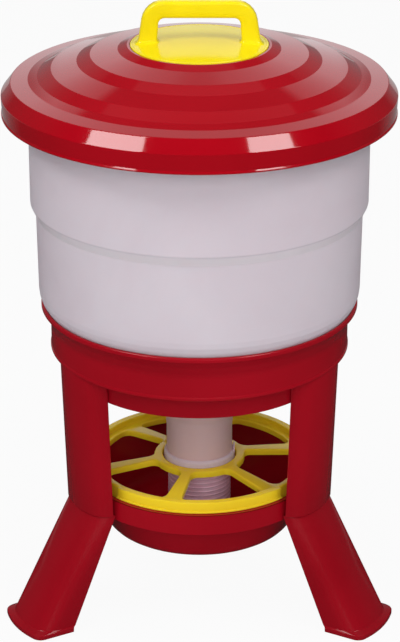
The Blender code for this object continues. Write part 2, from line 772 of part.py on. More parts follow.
def window_outline():
    """One window between two spokes, on the +X axis."""
    near = grid_hub_bore + GRID_HUB_WIDTH
    far = grid_rim_radius - GRID_RIM_WIDTH - GRID_LEDGE_WIDTH
    sector = math.pi / GRID_SPOKES
    near_half = sector - math.asin(GRID_SPOKE_WIDTH_HUB / 2 / near)
    far_half = sector - math.asin(GRID_SPOKE_WIDTH_RIM / 2 / far)
    corners = []
    corners += arc_points((0, 0), far, -far_half, far_half, ARC_STEPS)
    corners += arc_points((0, 0), near, near_half, -near_half, ARC_STEPS)
    fillets = [0] * len(corners)
    far_last = ARC_STEPS
    for index in (0, far_last, far_last + 1, len(corners) - 1):
        fillets[index] = (far - near) * GRID_WINDOW_FILLET_SHARE
    return rounded_corners(corners, fillets, ARC_STEPS)


def make_grid(parent, surface):
    grid = set_piece("feed_grid", turned_mesh("feed_grid", grid_outline(), LARGE_STEPS), surface, parent)
    bottom_z = grid_deck_top_z - GRID_DECK_THICKNESS - CUT_OVERRUN
    top_z = grid_deck_top_z + CUT_OVERRUN
    window_mesh = prism_mesh("grid_window", window_outline(), bottom_z, top_z)
    pitch = 360.0 / GRID_SPOKES
    for index in range(GRID_SPOKES):
        azimuth = GRID_SPOKE_AZIMUTH + pitch * (index + 1 / 2)
        window = set_tool(f"grid_window_{index + 1}", window_mesh, parent, azimuth_turn(azimuth))
        combine(grid, window, "DIFFERENCE")
    half_angle = math.radians(GRID_LIP_HALF_ANGLE)
    lip_outer = grid_rim_radius + GRID_LIP_WIDTH
    lip_inner = grid_rim_radius - WELD_OVERLAP
    lip_steps = round(LARGE_STEPS * GRID_LIP_HALF_ANGLE / 180.0)
    lip_outline = arc_points((0, 0), lip_outer, -half_angle, half_angle, lip_steps)
    lip_outline += arc_points((0, 0), lip_inner, half_angle, -half_angle, lip_steps)
    lip_mesh = prism_mesh("grid_lip", lip_outline, grid_lip_z, grid_lip_z + GRID_LIP_THICKNESS)
    for index in range(POST_COUNT):
        turn = azimuth_turn(360.0 / POST_COUNT * index)
        lip = set_tool(f"grid_lip_{index + 1}", lip_mesh, parent, turn)
        combine(grid, lip, "UNION")
    return grid


# Hopper: flange, two diameters, shoulder, cone and neck in one wall
def hopper_outline():
    neck_end = NECK_RADIUS - SNAP_DEPTH
    snap_z = neck_bottom_z + RING_HEIGHT * SNAP_LEVEL_SHARE
    lower_top_z = shoulder_z + HOPPER_LOWER_HEIGHT
    upper_bottom_z = lower_top_z + HOPPER_STEP_HEIGHT
    slope_out = math.pi / 2 - cone_angle
    shoulder = arc_points((shoulder_centre, shoulder_z), SHOULDER_RADIUS, 0, -slope_out, ARC_STEPS)
    fillet_centre = (NECK_RADIUS + NECK_FILLET, neck_top_z)
    fillet = arc_points(
        fillet_centre, NECK_FILLET, math.pi - slope_out, math.pi, NECK_FILLET_STEPS
    )
    outer = [
        (hopper_upper_radius, hopper_rim_z - HOPPER_FLANGE_THICKNESS),
        (hopper_upper_radius, upper_bottom_z),
        (hopper_lower_radius, lower_top_z),
    ]
    outer += shoulder
    outer += fillet
    outline = [
        (hopper_flange_radius, hopper_rim_z),
        (hopper_flange_radius, hopper_rim_z - HOPPER_FLANGE_THICKNESS),
    ]
    outline += outer
    outline += [
        (NECK_RADIUS, snap_z + SNAP_HEIGHT),
        (neck_end, snap_z + SNAP_HEIGHT),
        (neck_end, snap_z),
        (NECK_RADIUS, snap_z),
        (NECK_RADIUS, neck_bottom_z),
        (NECK_RADIUS - NECK_WALL, neck_bottom_z),
        (NECK_RADIUS - NECK_WALL, neck_top_z),
    ]
    inner_shoulder = arc_points(
        (shoulder_centre, shoulder_z), SHOULDER_RADIUS - HOPPER_WALL, -slope_out, 0, ARC_STEPS
    )
    inner_fillet = arc_points(
        fillet_centre, NECK_FILLET + NECK_WALL, math.pi, math.pi - slope_out, NECK_FILLET_STEPS
    )
    outline += inner_fillet[1:]
    outline += inner_shoulder
    outline += [
        (hopper_lower_radius - HOPPER_WALL, lower_top_z),
        (hopper_upper_radius - HOPPER_WALL, upper_bottom_z),
        (hopper_upper_radius - HOPPER_WALL, hopper_rim_z),
    ]
    return outline


def make_hopper(parent, surface):
    mesh = turned_mesh("hopper", hopper_outline(), LARGE_STEPS)
    return set_piece("hopper", mesh, surface, parent)


# Regulator: a collar snapped on the neck, and the ribbed tube that it raises
def ring_outline():
    bore = NECK_RADIUS + RING_RUNNING_GAP
    ledge_bore = tube_radius + RING_RUNNING_GAP * 2
    snap_z = neck_bottom_z + RING_HEIGHT * SNAP_LEVEL_SHARE
    bead_bottom_z = snap_z + SNAP_HEIGHT / 4
    bead_top_z = snap_z + SNAP_HEIGHT * 3 / 4
    bead_bore = NECK_RADIUS - SNAP_DEPTH + RING_RUNNING_GAP
    ledge_top_z = ring_bottom_z + RING_LEDGE
    return [
        (ring_radius, ring_top_z - FIT_GAP),
        (ring_radius, ring_bottom_z + FIT_GAP),
        (ring_radius - FIT_GAP, ring_bottom_z),
        (ledge_bore, ring_bottom_z),
        (ledge_bore, ledge_top_z),
        (bore, ledge_top_z),
        (bore, bead_bottom_z),
        (bead_bore, bead_bottom_z),
        (bead_bore, bead_top_z),
        (bore, bead_top_z),
        (bore, ring_top_z),
        (ring_radius - FIT_GAP, ring_top_z),
    ]


def make_ring(parent, surface):
    mesh = turned_mesh("regulator_ring", ring_outline(), SMALL_STEPS)
    ring = set_piece("regulator_ring", mesh, surface, parent)
    half = TAB_WIDTH / 2
    outer = math.sqrt(ring_radius**2 - half**2)
    inner = outer - TAB_THICKNESS
    tab_outline = [(inner, -half), (outer, -half), (outer, half), (inner, half)]
    tab_bottom_z = ring_top_z - WELD_OVERLAP
    tab_mesh = prism_mesh("ring_tab", tab_outline, tab_bottom_z, ring_top_z + TAB_RISE)
    tab = set_tool("ring_tab", tab_mesh, parent)
    combine(ring, tab, "UNION")
    return ring


def tube_outline():
    """A plain sleeve that slides in the neck, then the ribs that the collar drives."""
    bottom_z = pan_floor_z + FEED_GAP
    top_z = neck_bottom_z + TUBE_ENGAGEMENT
    root = tube_radius - TUBE_RIB_DEPTH
    outline = [(root - TUBE_WALL, top_z), (tube_radius, top_z)]
    for index in range(TUBE_RIB_COUNT, -1, -1):
        valley_z = bottom_z + TUBE_RIB_PITCH * index
        outline += [(tube_radius, valley_z + TUBE_RIB_PITCH / 2), (root, valley_z)]
    outline.append((root - TUBE_WALL, bottom_z))
    return outline


def make_tube(parent, surface):
    mesh = turned_mesh("metering_tube", tube_outline(), SMALL_STEPS)
    return set_piece("metering_tube", mesh, surface, parent)


# Lid: a thin dome with stepped rings, a sloping rim wall and a skirt
def lid_skirt_line():
    """Outer surface from the skirt's lower edge up to the ridge."""
    ridge_z = lid_datum_z - LID_EDGE_DROP
    lip_z = ridge_z - LID_SKIRT_DROP
    skirt_radius = LID_RADIUS - LID_RIDGE_STEP
    return [
        (LID_RADIUS, lip_z),
        (LID_RADIUS, lip_z + LID_LIP_HEIGHT / 2),
        (skirt_radius, lip_z + LID_LIP_HEIGHT),
        (skirt_radius, ridge_z - LID_RIDGE_STEP),
        (LID_RADIUS, ridge_z),
    ]


def lid_dome_line():
    """Outer surface from the rim wall up over the rings."""
    edge_width = LID_RADIUS - lid_terrace_end
    line = []
    for width_share, drop_share in reversed(LID_EDGE_SHARES):
        point = (lid_terrace_end + edge_width * width_share, lid_datum_z - LID_EDGE_DROP * drop_share)
        line.append(point)
    for radius_share, rise_share in reversed(LID_RING_SHARES):
        line.append((LID_RADIUS * radius_share, lid_datum_z + LID_DOME_RISE * rise_share))
    return line


def lid_outline():
    skirt = lid_skirt_line()
    dome = lid_dome_line()
    recess_radius = disc_radius + LID_RECESS_GAP
    recess = [(recess_radius, lid_crest_z), (recess_radius, plateau_z), (0, plateau_z)]
    skirt_radius = LID_RADIUS - LID_RIDGE_STEP
    smooth_skirt = [(skirt_radius, skirt[0][1]), (skirt_radius, skirt[-1][1])]
    inner = offset_inwards(smooth_skirt + dome[:-1] + recess[1:], LID_WALL)
    return skirt + dome + recess + list(reversed(inner))


def handle_screw_places():
    place = handle_foot_outer - HANDLE_SCREW_INSET
    return {"left": -place, "right": place}


def make_lid(parent, surface):
    lid = set_piece("lid", turned_mesh("lid", lid_outline(), LARGE_STEPS), surface, parent)
    radius = HANDLE_SCREW_RADIUS + SCREW_HOLE_CLEARANCE
    ring = arc_points((0, 0), radius, 0, math.tau * (SCREW_STEPS - 1) / SCREW_STEPS, SCREW_STEPS - 1)
    bottom_z = plateau_z - LID_WALL - CUT_OVERRUN
    hole_mesh = prism_mesh("lid_hole", ring, bottom_z, plateau_z + CUT_OVERRUN)
    for side, place in handle_screw_places().items():
        hole = set_tool("lid_hole_" + side, hole_mesh, parent)
        hole.location.x = place
        combine(lid, hole, "DIFFERENCE")
    return lid


# Handle: a round flange and a flat-fronted loop that stands on it
def handle_lines():
    """Outer and inner line of the loop in x and z, each with the bar on its left."""
    root_z = disc_top_z - WELD_OVERLAP
    waist_z = disc_top_z + HANDLE_WAIST_HEIGHT
    top_z = disc_top_z + HANDLE_HEIGHT
    under_z = top_z - HANDLE_BAR_HEIGHT
    outer = [(handle_foot_outer, root_z), (handle_waist_outer, waist_z), (handle_top_outer, top_z)]
    inner = [
        (HANDLE_FOOT_WIDTH - handle_foot_outer, root_z),
        (HANDLE_WAIST_WIDTH - handle_waist_outer, waist_z),
        (HANDLE_TOP_WIDTH - handle_top_outer, under_z),
    ]
    lines = []
    for half, fillet in ((outer, HANDLE_CORNER_RADIUS), (inner, HANDLE_INNER_CORNER)):
        corners = half + [(-x, z) for x, z in reversed(half)]
        lines.append(rounded_corners(corners, (0, 0, fillet, fillet, 0, 0), HANDLE_CORNER_STEPS))
    return lines


def handle_sections():
    outer, inner = handle_lines()
    half_depth = HANDLE_BAR_DEPTH / 2
    front = []
    for step in range(HANDLE_ROUND_STEPS + 1):
        angle = math.pi / 2 * step / HANDLE_ROUND_STEPS
        inset = HANDLE_BAR_ROUND * (1 - math.sin(angle))
        place = HANDLE_BAR_ROUND * (1 - math.cos(angle)) - half_depth
        contour = offset_inwards(outer, inset) + offset_inwards(inner, inset)
        front.append([(x, place, z) for x, z in contour])
    rear = [[(x, -y, z) for x, y, z in section] for section in reversed(front)]
    return front + rear


def make_handle(parent, surface):
    disc_outline = [
        (0, disc_top_z),
        (disc_radius - DISC_EDGE, disc_top_z),
        (disc_radius, disc_top_z - DISC_EDGE),
        (disc_radius, disc_bottom_z),
        (0, disc_bottom_z),
    ]
    disc_mesh = turned_mesh("lid_handle", disc_outline, LARGE_STEPS)
    handle = set_piece("lid_handle", disc_mesh, surface, parent)
    loop = set_tool("handle_loop", lofted_mesh("handle_loop", handle_sections()), parent)
    combine(handle, loop, "UNION")
    radius = HANDLE_SCREW_RADIUS + SCREW_HOLE_CLEARANCE
    ring = arc_points((0, 0), radius, 0, math.tau * (SCREW_STEPS - 1) / SCREW_STEPS, SCREW_STEPS - 1)
    top_z = disc_bottom_z + HANDLE_SCREW_BITE + CUT_OVERRUN
    hole_mesh = prism_mesh("handle_hole", ring, disc_bottom_z - CUT_OVERRUN, top_z)
    for side, place in handle_screw_places().items():
        hole = set_tool("handle_hole_" + side, hole_mesh, parent)
        hole.location.x = place
        combine(handle, hole, "DIFFERENCE")
    return handle


def make_handle_fixings(parent, surface):
    underside_z = plateau_z - LID_WALL
    hole_radius = HANDLE_SCREW_RADIUS + SCREW_HOLE_CLEARANCE
    washer_top_z = underside_z - FIT_GAP
    washer_bottom_z = washer_top_z - WASHER_THICKNESS
    washer_outline = [
        (WASHER_RADIUS, washer_top_z),
        (WASHER_RADIUS, washer_bottom_z),
        (hole_radius, washer_bottom_z),
        (hole_radius, washer_top_z),
    ]
    washer_mesh = turned_mesh("handle_washer", washer_outline, SCREW_STEPS)
    head_z = washer_bottom_z - FIT_GAP
    length = disc_bottom_z + HANDLE_SCREW_BITE - head_z
    outline = screw_outline(
        length, HANDLE_SCREW_RADIUS, HANDLE_SCREW_HEAD_RADIUS, HANDLE_SCREW_HEAD_HEIGHT
    )
    screw_mesh = turned_mesh("handle_screw", outline, SCREW_STEPS)
    for side, place in handle_screw_places().items():
        washer = set_piece("handle_washer_" + side, washer_mesh, surface, parent)
        washer.location.x = place
        screw = set_piece("handle_screw_" + side, screw_mesh, surface, parent)
        screw.location = (place, 0, head_z)


clear_scene()
feeder_axis = bpy.data.objects.new("feeder_axis", None)
bpy.context.scene.collection.objects.link(feeder_axis)
feeder_axis.location.y = axis_y

red = plastic("red_plastic", RED_PLASTIC, 0.32)
lid_red = plastic("lid_red_plastic", LID_RED_PLASTIC, 0.18)
yellow = plastic("yellow_plastic", YELLOW_PLASTIC, 0.35)
translucent = plastic("translucent_plastic", HOPPER_PLASTIC, 0.4)
zinc = plastic("zinc", ZINC, 0.35, 1.0)

make_stand(feeder_axis, red)
make_legs(feeder_axis, red)
make_pan(feeder_axis, red)
make_leg_screws(feeder_axis, zinc)
make_grid(feeder_axis, yellow)
make_hopper(feeder_axis, translucent)
make_ring(feeder_axis, translucent)
make_tube(feeder_axis, translucent)
make_lid(feeder_axis, lid_red)
make_handle(feeder_axis, yellow)
make_handle_fixings(feeder_axis, zinc)
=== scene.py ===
import math

import bpy
from mathutils import Matrix, Vector


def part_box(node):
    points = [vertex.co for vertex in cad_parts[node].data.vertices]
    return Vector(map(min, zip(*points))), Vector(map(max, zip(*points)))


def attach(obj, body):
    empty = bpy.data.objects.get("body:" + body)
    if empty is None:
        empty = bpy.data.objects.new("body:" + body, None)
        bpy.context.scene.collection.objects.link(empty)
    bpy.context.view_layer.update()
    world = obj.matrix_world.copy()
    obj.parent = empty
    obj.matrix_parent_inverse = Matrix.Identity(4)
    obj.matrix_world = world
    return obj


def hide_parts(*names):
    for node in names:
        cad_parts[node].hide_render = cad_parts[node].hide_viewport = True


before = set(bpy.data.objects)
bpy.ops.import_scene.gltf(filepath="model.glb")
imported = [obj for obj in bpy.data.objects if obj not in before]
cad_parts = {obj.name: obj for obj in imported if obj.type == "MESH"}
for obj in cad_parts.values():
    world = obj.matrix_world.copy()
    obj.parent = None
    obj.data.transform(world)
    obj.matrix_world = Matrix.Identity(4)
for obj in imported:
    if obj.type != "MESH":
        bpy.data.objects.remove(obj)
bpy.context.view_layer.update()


# The photograph's viewpoint: a long lens, a little above the lid, looking down on
# the feeder's front. Everything round is turned about one upright axis.
lid_low, lid_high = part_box("lid")
axis_y = (lid_low.y + lid_high.y) / 2
image_long_side = 642
focal_pixels = 2482
pixels_off_centre = 0.6
camera_distance = 2.5
camera_height = 1.3687
degrees_down = 22.82
camera_data = bpy.data.cameras.new("photo_camera")
camera_data.sensor_width = 36.0
camera_data.lens = focal_pixels * camera_data.sensor_width / image_long_side
camera_data.shift_x = pixels_off_centre / image_long_side
camera_data.clip_start = 0.05
camera_data.clip_end = 60.0
camera = bpy.data.objects.new("photo_camera", camera_data)
camera.location = (0, axis_y - camera_distance, camera_height)
camera.rotation_euler = (math.radians(90 - degrees_down), 0, 0)
bpy.context.scene.collection.objects.link(camera)
bpy.context.scene.camera = camera
bpy.context.scene.view_settings.view_transform = "Standard"


# Studio: a softbox at each side, fill lamps in front and overhead, and a white sweep
# for the floor. A pale wall and a dim panel above it, behind, show only in the gloss.
def new_material(name):
    made = bpy.data.materials.new(name)
    made.use_nodes = True
    tree = made.node_tree
    return made, tree, tree.nodes["Principled BSDF"]


def spread(tree, value, low, high, to_low, to_high):
    """Map a value from one range to another, held at both ends."""
    node = tree.nodes.new("ShaderNodeMapRange")
    node.inputs["From Min"].default_value = low
    node.inputs["From Max"].default_value = high
    node.inputs["To Min"].default_value = to_low
    node.inputs["To Max"].default_value = to_high
    tree.links.new(value, node.inputs["Value"])
    return node.outputs["Result"]


def combined(tree, operation, *values):
    """One maths node; each value is a number or a socket."""
    node = tree.nodes.new("ShaderNodeMath")
    node.operation = operation
    for socket, value in zip(node.inputs, values):
        if isinstance(value, float):
            socket.default_value = value
        else:
            tree.links.new(value, socket)
    return node.outputs[0]


aim_height = 0.42


def softbox(name, azimuth, elevation, distance, width, height, power, mirrored=True):
    """A rectangular lamp towards the feeder's axis; a fill lamp isn't mirrored in the plastic.

    A mirrored lamp hangs upright, so that its sides run straight up a cone that mirrors it.
    """
    target = Vector((0, axis_y, aim_height))
    level = math.cos(math.radians(elevation))
    way = Vector((
        math.sin(math.radians(azimuth)) * level,
        -math.cos(math.radians(azimuth)) * level,
        math.sin(math.radians(elevation)),
    ))
    facing = Vector((way.x, way.y, 0)) if mirrored else way
    lamp = bpy.data.lights.new(name, "AREA")
    lamp.shape = "RECTANGLE"
    lamp.size = width
    lamp.size_y = height
    lamp.energy = power
    item = bpy.data.objects.new(name, lamp)
    item.location = target + way * distance
    item.rotation_euler = (-facing).to_track_quat("-Z", "Y").to_euler()
    item.visible_camera = False
    item.visible_glossy = mirrored
    bpy.context.scene.collection.objects.link(item)


softbox("softbox_left", azimuth=-57, elevation=51, distance=2.4, width=0.96, height=1.2, power=25)
softbox("softbox_right", azimuth=49, elevation=51, distance=2.4, width=0.76, height=1.2, power=20)
softbox(
    "fill_front", azimuth=0, elevation=22, distance=3.0, width=2.6, height=1.8, power=38, mirrored=False
)
softbox(
    "fill_overhead", azimuth=180, elevation=80, distance=2.4, width=1.2, height=0.9, power=4, mirrored=False
)

bpy.ops.object.select_all(action="DESELECT")
bpy.ops.mesh.primitive_plane_add(size=14, location=(0, 0, 0))
floor = bpy.context.object
floor.name = "floor"
floor_material, floor_tree, floor_shader = new_material("white_sweep")
floor_shader.inputs["Base Color"].default_value = (0.55, 0.55, 0.56, 1)
floor_shader.inputs["Roughness"].default_value = 0.8
floor_path = floor_tree.nodes.new("ShaderNodeLightPath")
floor_glow = floor_tree.nodes.new("ShaderNodeEmission")
floor_glow.inputs["Color"].default_value = (1, 1, 1, 1)
floor_mix = floor_tree.nodes.new("ShaderNodeMixShader")
floor_place = floor_tree.nodes.new("ShaderNodeSeparateXYZ")
floor_tree.links.new(floor_tree.nodes.new("ShaderNodeTexCoord").outputs["Object"], floor_place.inputs[0])
floor_far = spread(floor_tree, floor_place.outputs["Y"], 0.8, 2.4, 0.03, 0.45)
floor_seen = floor_path.outputs["Is Camera Ray"]
floor_white = 0.94
floor_share = combined(
    floor_tree, "MULTIPLY_ADD", floor_seen, floor_white, floor_path.outputs["Is Glossy Ray"]
)
floor_strength = combined(floor_tree, "MAXIMUM", floor_seen, floor_far)
floor_tree.links.new(floor_strength, floor_glow.inputs["Strength"])
floor_tree.links.new(floor_share, floor_mix.inputs[0])
floor_tree.links.new(floor_shader.outputs[0], floor_mix.inputs[1])
floor_tree.links.new(floor_glow.outputs[0], floor_mix.inputs[2])
floor_tree.links.new(floor_mix.outputs[0], floor_tree.nodes["Material Output"].inputs[0])
floor.data.materials.append(floor_material)

world = bpy.data.worlds.new("studio")
bpy.context.scene.world = world
world.use_nodes = True
world_tree = world.node_tree
world_fill = world_tree.nodes["Background"]
world_fill.inputs["Color"].default_value = (0.97, 0.98, 1.0, 1)
world_path = world_tree.nodes.new("ShaderNodeLightPath")
world_way = world_tree.nodes.new("ShaderNodeSeparateXYZ")
world_place = world_tree.nodes.new("ShaderNodeTexCoord")
world_tree.links.new(world_place.outputs["Generated"], world_way.inputs[0])
sideways, backwards, upwards = world_way.outputs
wall_level = spread(world_tree, upwards, 0.40, 0.62, 0.75, 0.28)
wall_top = spread(world_tree, upwards, 0.605, 0.635, 1.0, 0.0)
behind = combined(world_tree, "MAXIMUM", backwards, 0.01)
aside = combined(world_tree, "DIVIDE", combined(world_tree, "ABSOLUTE", sideways), behind)
wall_flare = combined(world_tree, "MULTIPLY_ADD", upwards, -0.37, aside)
wall_width = spread(world_tree, wall_flare, 0.125, 0.150, 1.0, 0.20)
wall_reach = spread(world_tree, aside, 0.5, 0.8, 1.0, 0.0)
wall_shape = combined(world_tree, "MULTIPLY", wall_width, wall_reach)
wall_light = combined(world_tree, "MULTIPLY", wall_level, wall_top)
wall = combined(world_tree, "MULTIPLY", wall_light, wall_shape)
panel_level = spread(world_tree, upwards, 0.800, 0.815, 0.05, 0.16)
panel_side = spread(world_tree, backwards, 0.0, 0.3, 0.04, 1.0)
wall_glow = combined(world_tree, "MULTIPLY", combined(world_tree, "ADD", panel_level, wall), panel_side)
mirrored = combined(
    world_tree, "MAXIMUM", world_path.outputs["Is Glossy Ray"], world_path.outputs["Is Transmission Ray"]
)
fill_level = 0.50
fill_glow = combined(world_tree, "MULTIPLY", combined(world_tree, "SUBTRACT", 1.0, mirrored), fill_level)
seen_glow = combined(world_tree, "MULTIPLY_ADD", mirrored, wall_glow, fill_glow)
strength = combined(world_tree, "MAXIMUM", seen_glow, world_path.outputs["Is Camera Ray"])
world_tree.links.new(strength, world_fill.inputs["Strength"])


# Lid: a thin dome of high-gloss red plastic with crisp stepped rings round a shallow
# seat for the handle's disc. It is one injection moulding, with a sloping rim wall
# and a skirt that hangs over the hopper.
def new_group(name, sockets_in, sockets_out):
    """A shader node group with named sockets, and its tree's two end nodes."""
    group = bpy.data.node_groups.new(name, "ShaderNodeTree")
    for title, kind, value in sockets_in:
        socket = group.interface.new_socket(name=title, in_out="INPUT", socket_type="NodeSocket" + kind)
        socket.default_value = value
    for title, kind in sockets_out:
        group.interface.new_socket(name=title, in_out="OUTPUT", socket_type="NodeSocket" + kind)
    return group, group.nodes.new("NodeGroupInput"), group.nodes.new("NodeGroupOutput")


def noise(tree, place, scale, detail, distortion=0.0):
    node = tree.nodes.new("ShaderNodeTexNoise")
    node.inputs["Scale"].default_value = scale
    node.inputs["Detail"].default_value = detail
    node.inputs["Distortion"].default_value = distortion
    tree.links.new(place, node.inputs["Vector"])
    return node.outputs["Fac"]


def blend_colours(tree, share, first, second):
    node = tree.nodes.new("ShaderNodeMix")
    node.data_type = "RGBA"
    tree.links.new(share, node.inputs["Factor"])
    tree.links.new(first, node.inputs["A"])
    tree.links.new(second, node.inputs["B"])
    return node.outputs["Result"]


def moulded_skin_group():
    """Injection-moulded plastic: drifting pigment, mottled gloss, slow waves and a fine grain."""
    group, start, end = new_group(
        "moulded_skin",
        [
            ("Pigment", "Color", (0.5, 0.5, 0.5, 1)),
            ("Thick Pigment", "Color", (0.4, 0.4, 0.4, 1)),
            ("Roughness", "Float", 0.3),
            ("Mottle", "Float", 0.05),
            ("Wave Depth", "Float", 0.0001),
            ("Grain Depth", "Float", 0.00001),
        ],
        [("Colour", "Color"), ("Roughness", "Float"), ("Height", "Float")],
    )
    place = group.nodes.new("ShaderNodeTexCoord").outputs["Object"]
    share = spread(group, noise(group, place, 7.0, 3.0, 0.6), 0.35, 0.68, 0.0, 1.0)
    colour = blend_colours(group, share, start.outputs["Pigment"], start.outputs["Thick Pigment"])
    group.links.new(colour, end.inputs["Colour"])
    patch = noise(group, place, 46.0, 4.0, 1.2)
    fine = noise(group, place, 900.0, 2.0)
    swing = combined(group, "SUBTRACT", combined(group, "ADD", patch, fine), 1.0)
    rough = combined(group, "MULTIPLY_ADD", swing, start.outputs["Mottle"], start.outputs["Roughness"])
    group.links.new(rough, end.inputs["Roughness"])
    wave = combined(group, "MULTIPLY", noise(group, place, 16.0, 1.0), start.outputs["Wave Depth"])
    grain = noise(group, place, 1500.0, 2.0)
    height = combined(group, "MULTIPLY_ADD", grain, start.outputs["Grain Depth"], wave)
    group.links.new(height, end.inputs["Height"])
    return group


def worn_highlit_edges_group():
    """Edges paler and duller: partly wear by hands, partly a painted highlight along edges that catch
    light; and fine hairline marks.
    """
    group, start, end = new_group(
        "worn_highlit_edges",
        [
            ("Colour", "Color", (0.5, 0.5, 0.5, 1)),
            ("Worn Highlit Colour", "Color", (0.7, 0.7, 0.7, 1)),
            ("Roughness", "Float", 0.3),
            ("Edge Wear And Highlight", "Float", 0.3),
            ("Hairlines", "Float", 0.1),
        ],
        [("Colour", "Color"), ("Roughness", "Float")],
    )
    place = group.nodes.new("ShaderNodeTexCoord").outputs["Object"]
    bend = group.nodes.new("ShaderNodeNewGeometry").outputs["Pointiness"]
    # Paler edges: partly wear, partly a painted highlight where edges catch light.
    edge = spread(group, bend, 0.515, 0.60, 0.0, 1.0)
    broken = spread(group, noise(group, place, 120.0, 4.0), 0.38, 0.62, 0.15, 1.0)
    edge_spots = combined(group, "MULTIPLY", edge, broken)
    worn_highlit = combined(group, "MULTIPLY", edge_spots, start.outputs["Edge Wear And Highlight"])
    colour = blend_colours(group, worn_highlit, start.outputs["Colour"], start.outputs["Worn Highlit Colour"])
    group.links.new(colour, end.inputs["Colour"])
    turned = group.nodes.new("ShaderNodeMapping")
    turned.inputs["Scale"].default_value = (1.0, 9.0, 2.0)
    turned.inputs["Rotation"].default_value = (0.3, 0.2, 0.7)
    group.links.new(place, turned.inputs["Vector"])
    hair = spread(group, noise(group, turned.outputs[0], 170.0, 6.0, 2.5), 0.60, 0.66, 0.0, 1.0)
    dull = combined(group, "MULTIPLY_ADD", hair, start.outputs["Hairlines"], start.outputs["Roughness"])
    rubbed_dullness = 0.25
    group.links.new(combined(group, "MULTIPLY_ADD", worn_highlit, rubbed_dullness, dull), end.inputs["Roughness"])
    return group


moulded_skin = moulded_skin_group()
worn_highlit_edges = worn_highlit_edges_group()


def place_group(tree, group, values):
    node = tree.nodes.new("ShaderNodeGroup")
    node.node_tree = group
    for name, value in values.items():
        if isinstance(value, (tuple, float)):
            node.inputs[name].default_value = value
        else:
            tree.links.new(value, node.inputs[name])
    return node


def plastic(name, pigment, thick, worn_highlit, roughness, mottle, wave, grain, wear_and_highlight, hairlines):
    """Moulded plastic with its own pigment, gloss, texture, and edge wear with a painted edge highlight:
    material, shader and skin node.
    """
    made, tree, shader = new_material(name)
    skin = place_group(tree, moulded_skin, {
        "Pigment": pigment,
        "Thick Pigment": thick,
        "Roughness": roughness,
        "Mottle": mottle,
        "Wave Depth": wave,
        "Grain Depth": grain,
    })
    edges = place_group(tree, worn_highlit_edges, {
        "Colour": skin.outputs["Colour"],
        "Worn Highlit Colour": worn_highlit,
        "Roughness": skin.outputs["Roughness"],
        "Edge Wear And Highlight": wear_and_highlight,
        "Hairlines": hairlines,
    })
    bump = tree.nodes.new("ShaderNodeBump")
    bump.inputs["Distance"].default_value = 1.0
    tree.links.new(skin.outputs["Height"], bump.inputs["Height"])
    tree.links.new(edges.outputs["Colour"], shader.inputs["Base Color"])
    tree.links.new(edges.outputs["Roughness"], shader.inputs["Roughness"])
    tree.links.new(bump.outputs["Normal"], shader.inputs["Normal"])
    shader.inputs["IOR"].default_value = 1.49
    return made, shader, skin


def rounded(base_z, corners, closed=True):
    """Points in metres of a line given in millimetres: across, above base_z, fillet radius."""
    points = []
    last = len(corners) - 1
    for index, (across, up, fillet) in enumerate(corners):
        here = Vector((across, up))
        if fillet <= 0 or (not closed and index in (0, last)):
            points.append(here)
            continue
        before = (Vector(corners[index - 1][:2]) - here).normalized()
        after = (Vector(corners[(index + 1) % len(corners)][:2]) - here).normalized()
        half = before.angle(after) / 2
        centre = here + (before + after).normalized() * (fillet / math.sin(half))
        start = here + before * (fillet / math.tan(half)) - centre
        turn = start.angle_signed(here + after * (fillet / math.tan(half)) - centre)
        steps = max(2, round(abs(math.degrees(turn)) / 13))
        for step in range(steps + 1):
            points.append(centre + Matrix.Rotation(-turn * step / steps, 2) @ start)
    return [(across / 1000, base_z + up / 1000) for across, up in points]


def start_piece(name):
    """An empty mesh at the origin, open in edit mode."""
    bpy.ops.object.select_all(action="DESELECT")
    bpy.ops.mesh.primitive_plane_add(size=0.01, location=(0, 0, 0))
    piece = bpy.context.object
    piece.name = name
    piece.data.name = name
    bpy.ops.object.mode_set(mode="EDIT")
    bpy.ops.mesh.select_all(action="SELECT")
    bpy.ops.mesh.delete(type="VERT")
    return piece


def draw_line(points, closed):
    """Draw a line in edit mode, each point extruded from the one before."""
    bpy.ops.mesh.select_all(action="DESELECT")
    bpy.ops.mesh.primitive_plane_add(size=0.001, location=points[0])
    bpy.ops.mesh.merge(type="CENTER")
    for here, following in zip(points, points[1:] + points[:1] * closed):
        step = Vector(following) - Vector(here)
        bpy.ops.mesh.extrude_vertices_move(TRANSFORM_OT_translate={"value": step})


def weld():
    bpy.ops.mesh.select_all(action="SELECT")
    bpy.ops.mesh.remove_doubles(threshold=0.000002)
    bpy.ops.mesh.normals_make_consistent(inside=False)


def pick(piece):
    """Leave edit mode with one piece selected and active."""
    if bpy.context.mode != "OBJECT":
        bpy.ops.object.mode_set(mode="OBJECT")
    bpy.ops.object.select_all(action="DESELECT")
    piece.select_set(True)
    bpy.context.view_layer.objects.active = piece


long_run = 0.003
short_step = 0.0005


def supported(profile, closed):
    """Give each long straight run a short step at both ends, so that it shades as flat."""
    points = [Vector(point) for point in profile]
    firm = []
    for here, following in zip(points, points[1:] + points[:1] * closed):
        run = following - here
        firm.append(here)
        if run.length > long_run:
            firm.append(here + run.normalized() * short_step)
            firm.append(following - run.normalized() * short_step)
    return firm if closed else firm + points[-1:]


def turned_piece(name, profile, closed=True, steps=128):
    """Draw half a section in front of the axis and spin it all the way round."""
    piece = start_piece(name)
    draw_line([(0, axis_y - radius, height) for radius, height in supported(profile, closed)], closed)
    bpy.ops.mesh.select_all(action="SELECT")
    bpy.ops.mesh.spin(steps=steps, angle=math.tau, center=(0, axis_y, 0), axis=(0, 0, 1))
    weld()
    pick(piece)
    return piece


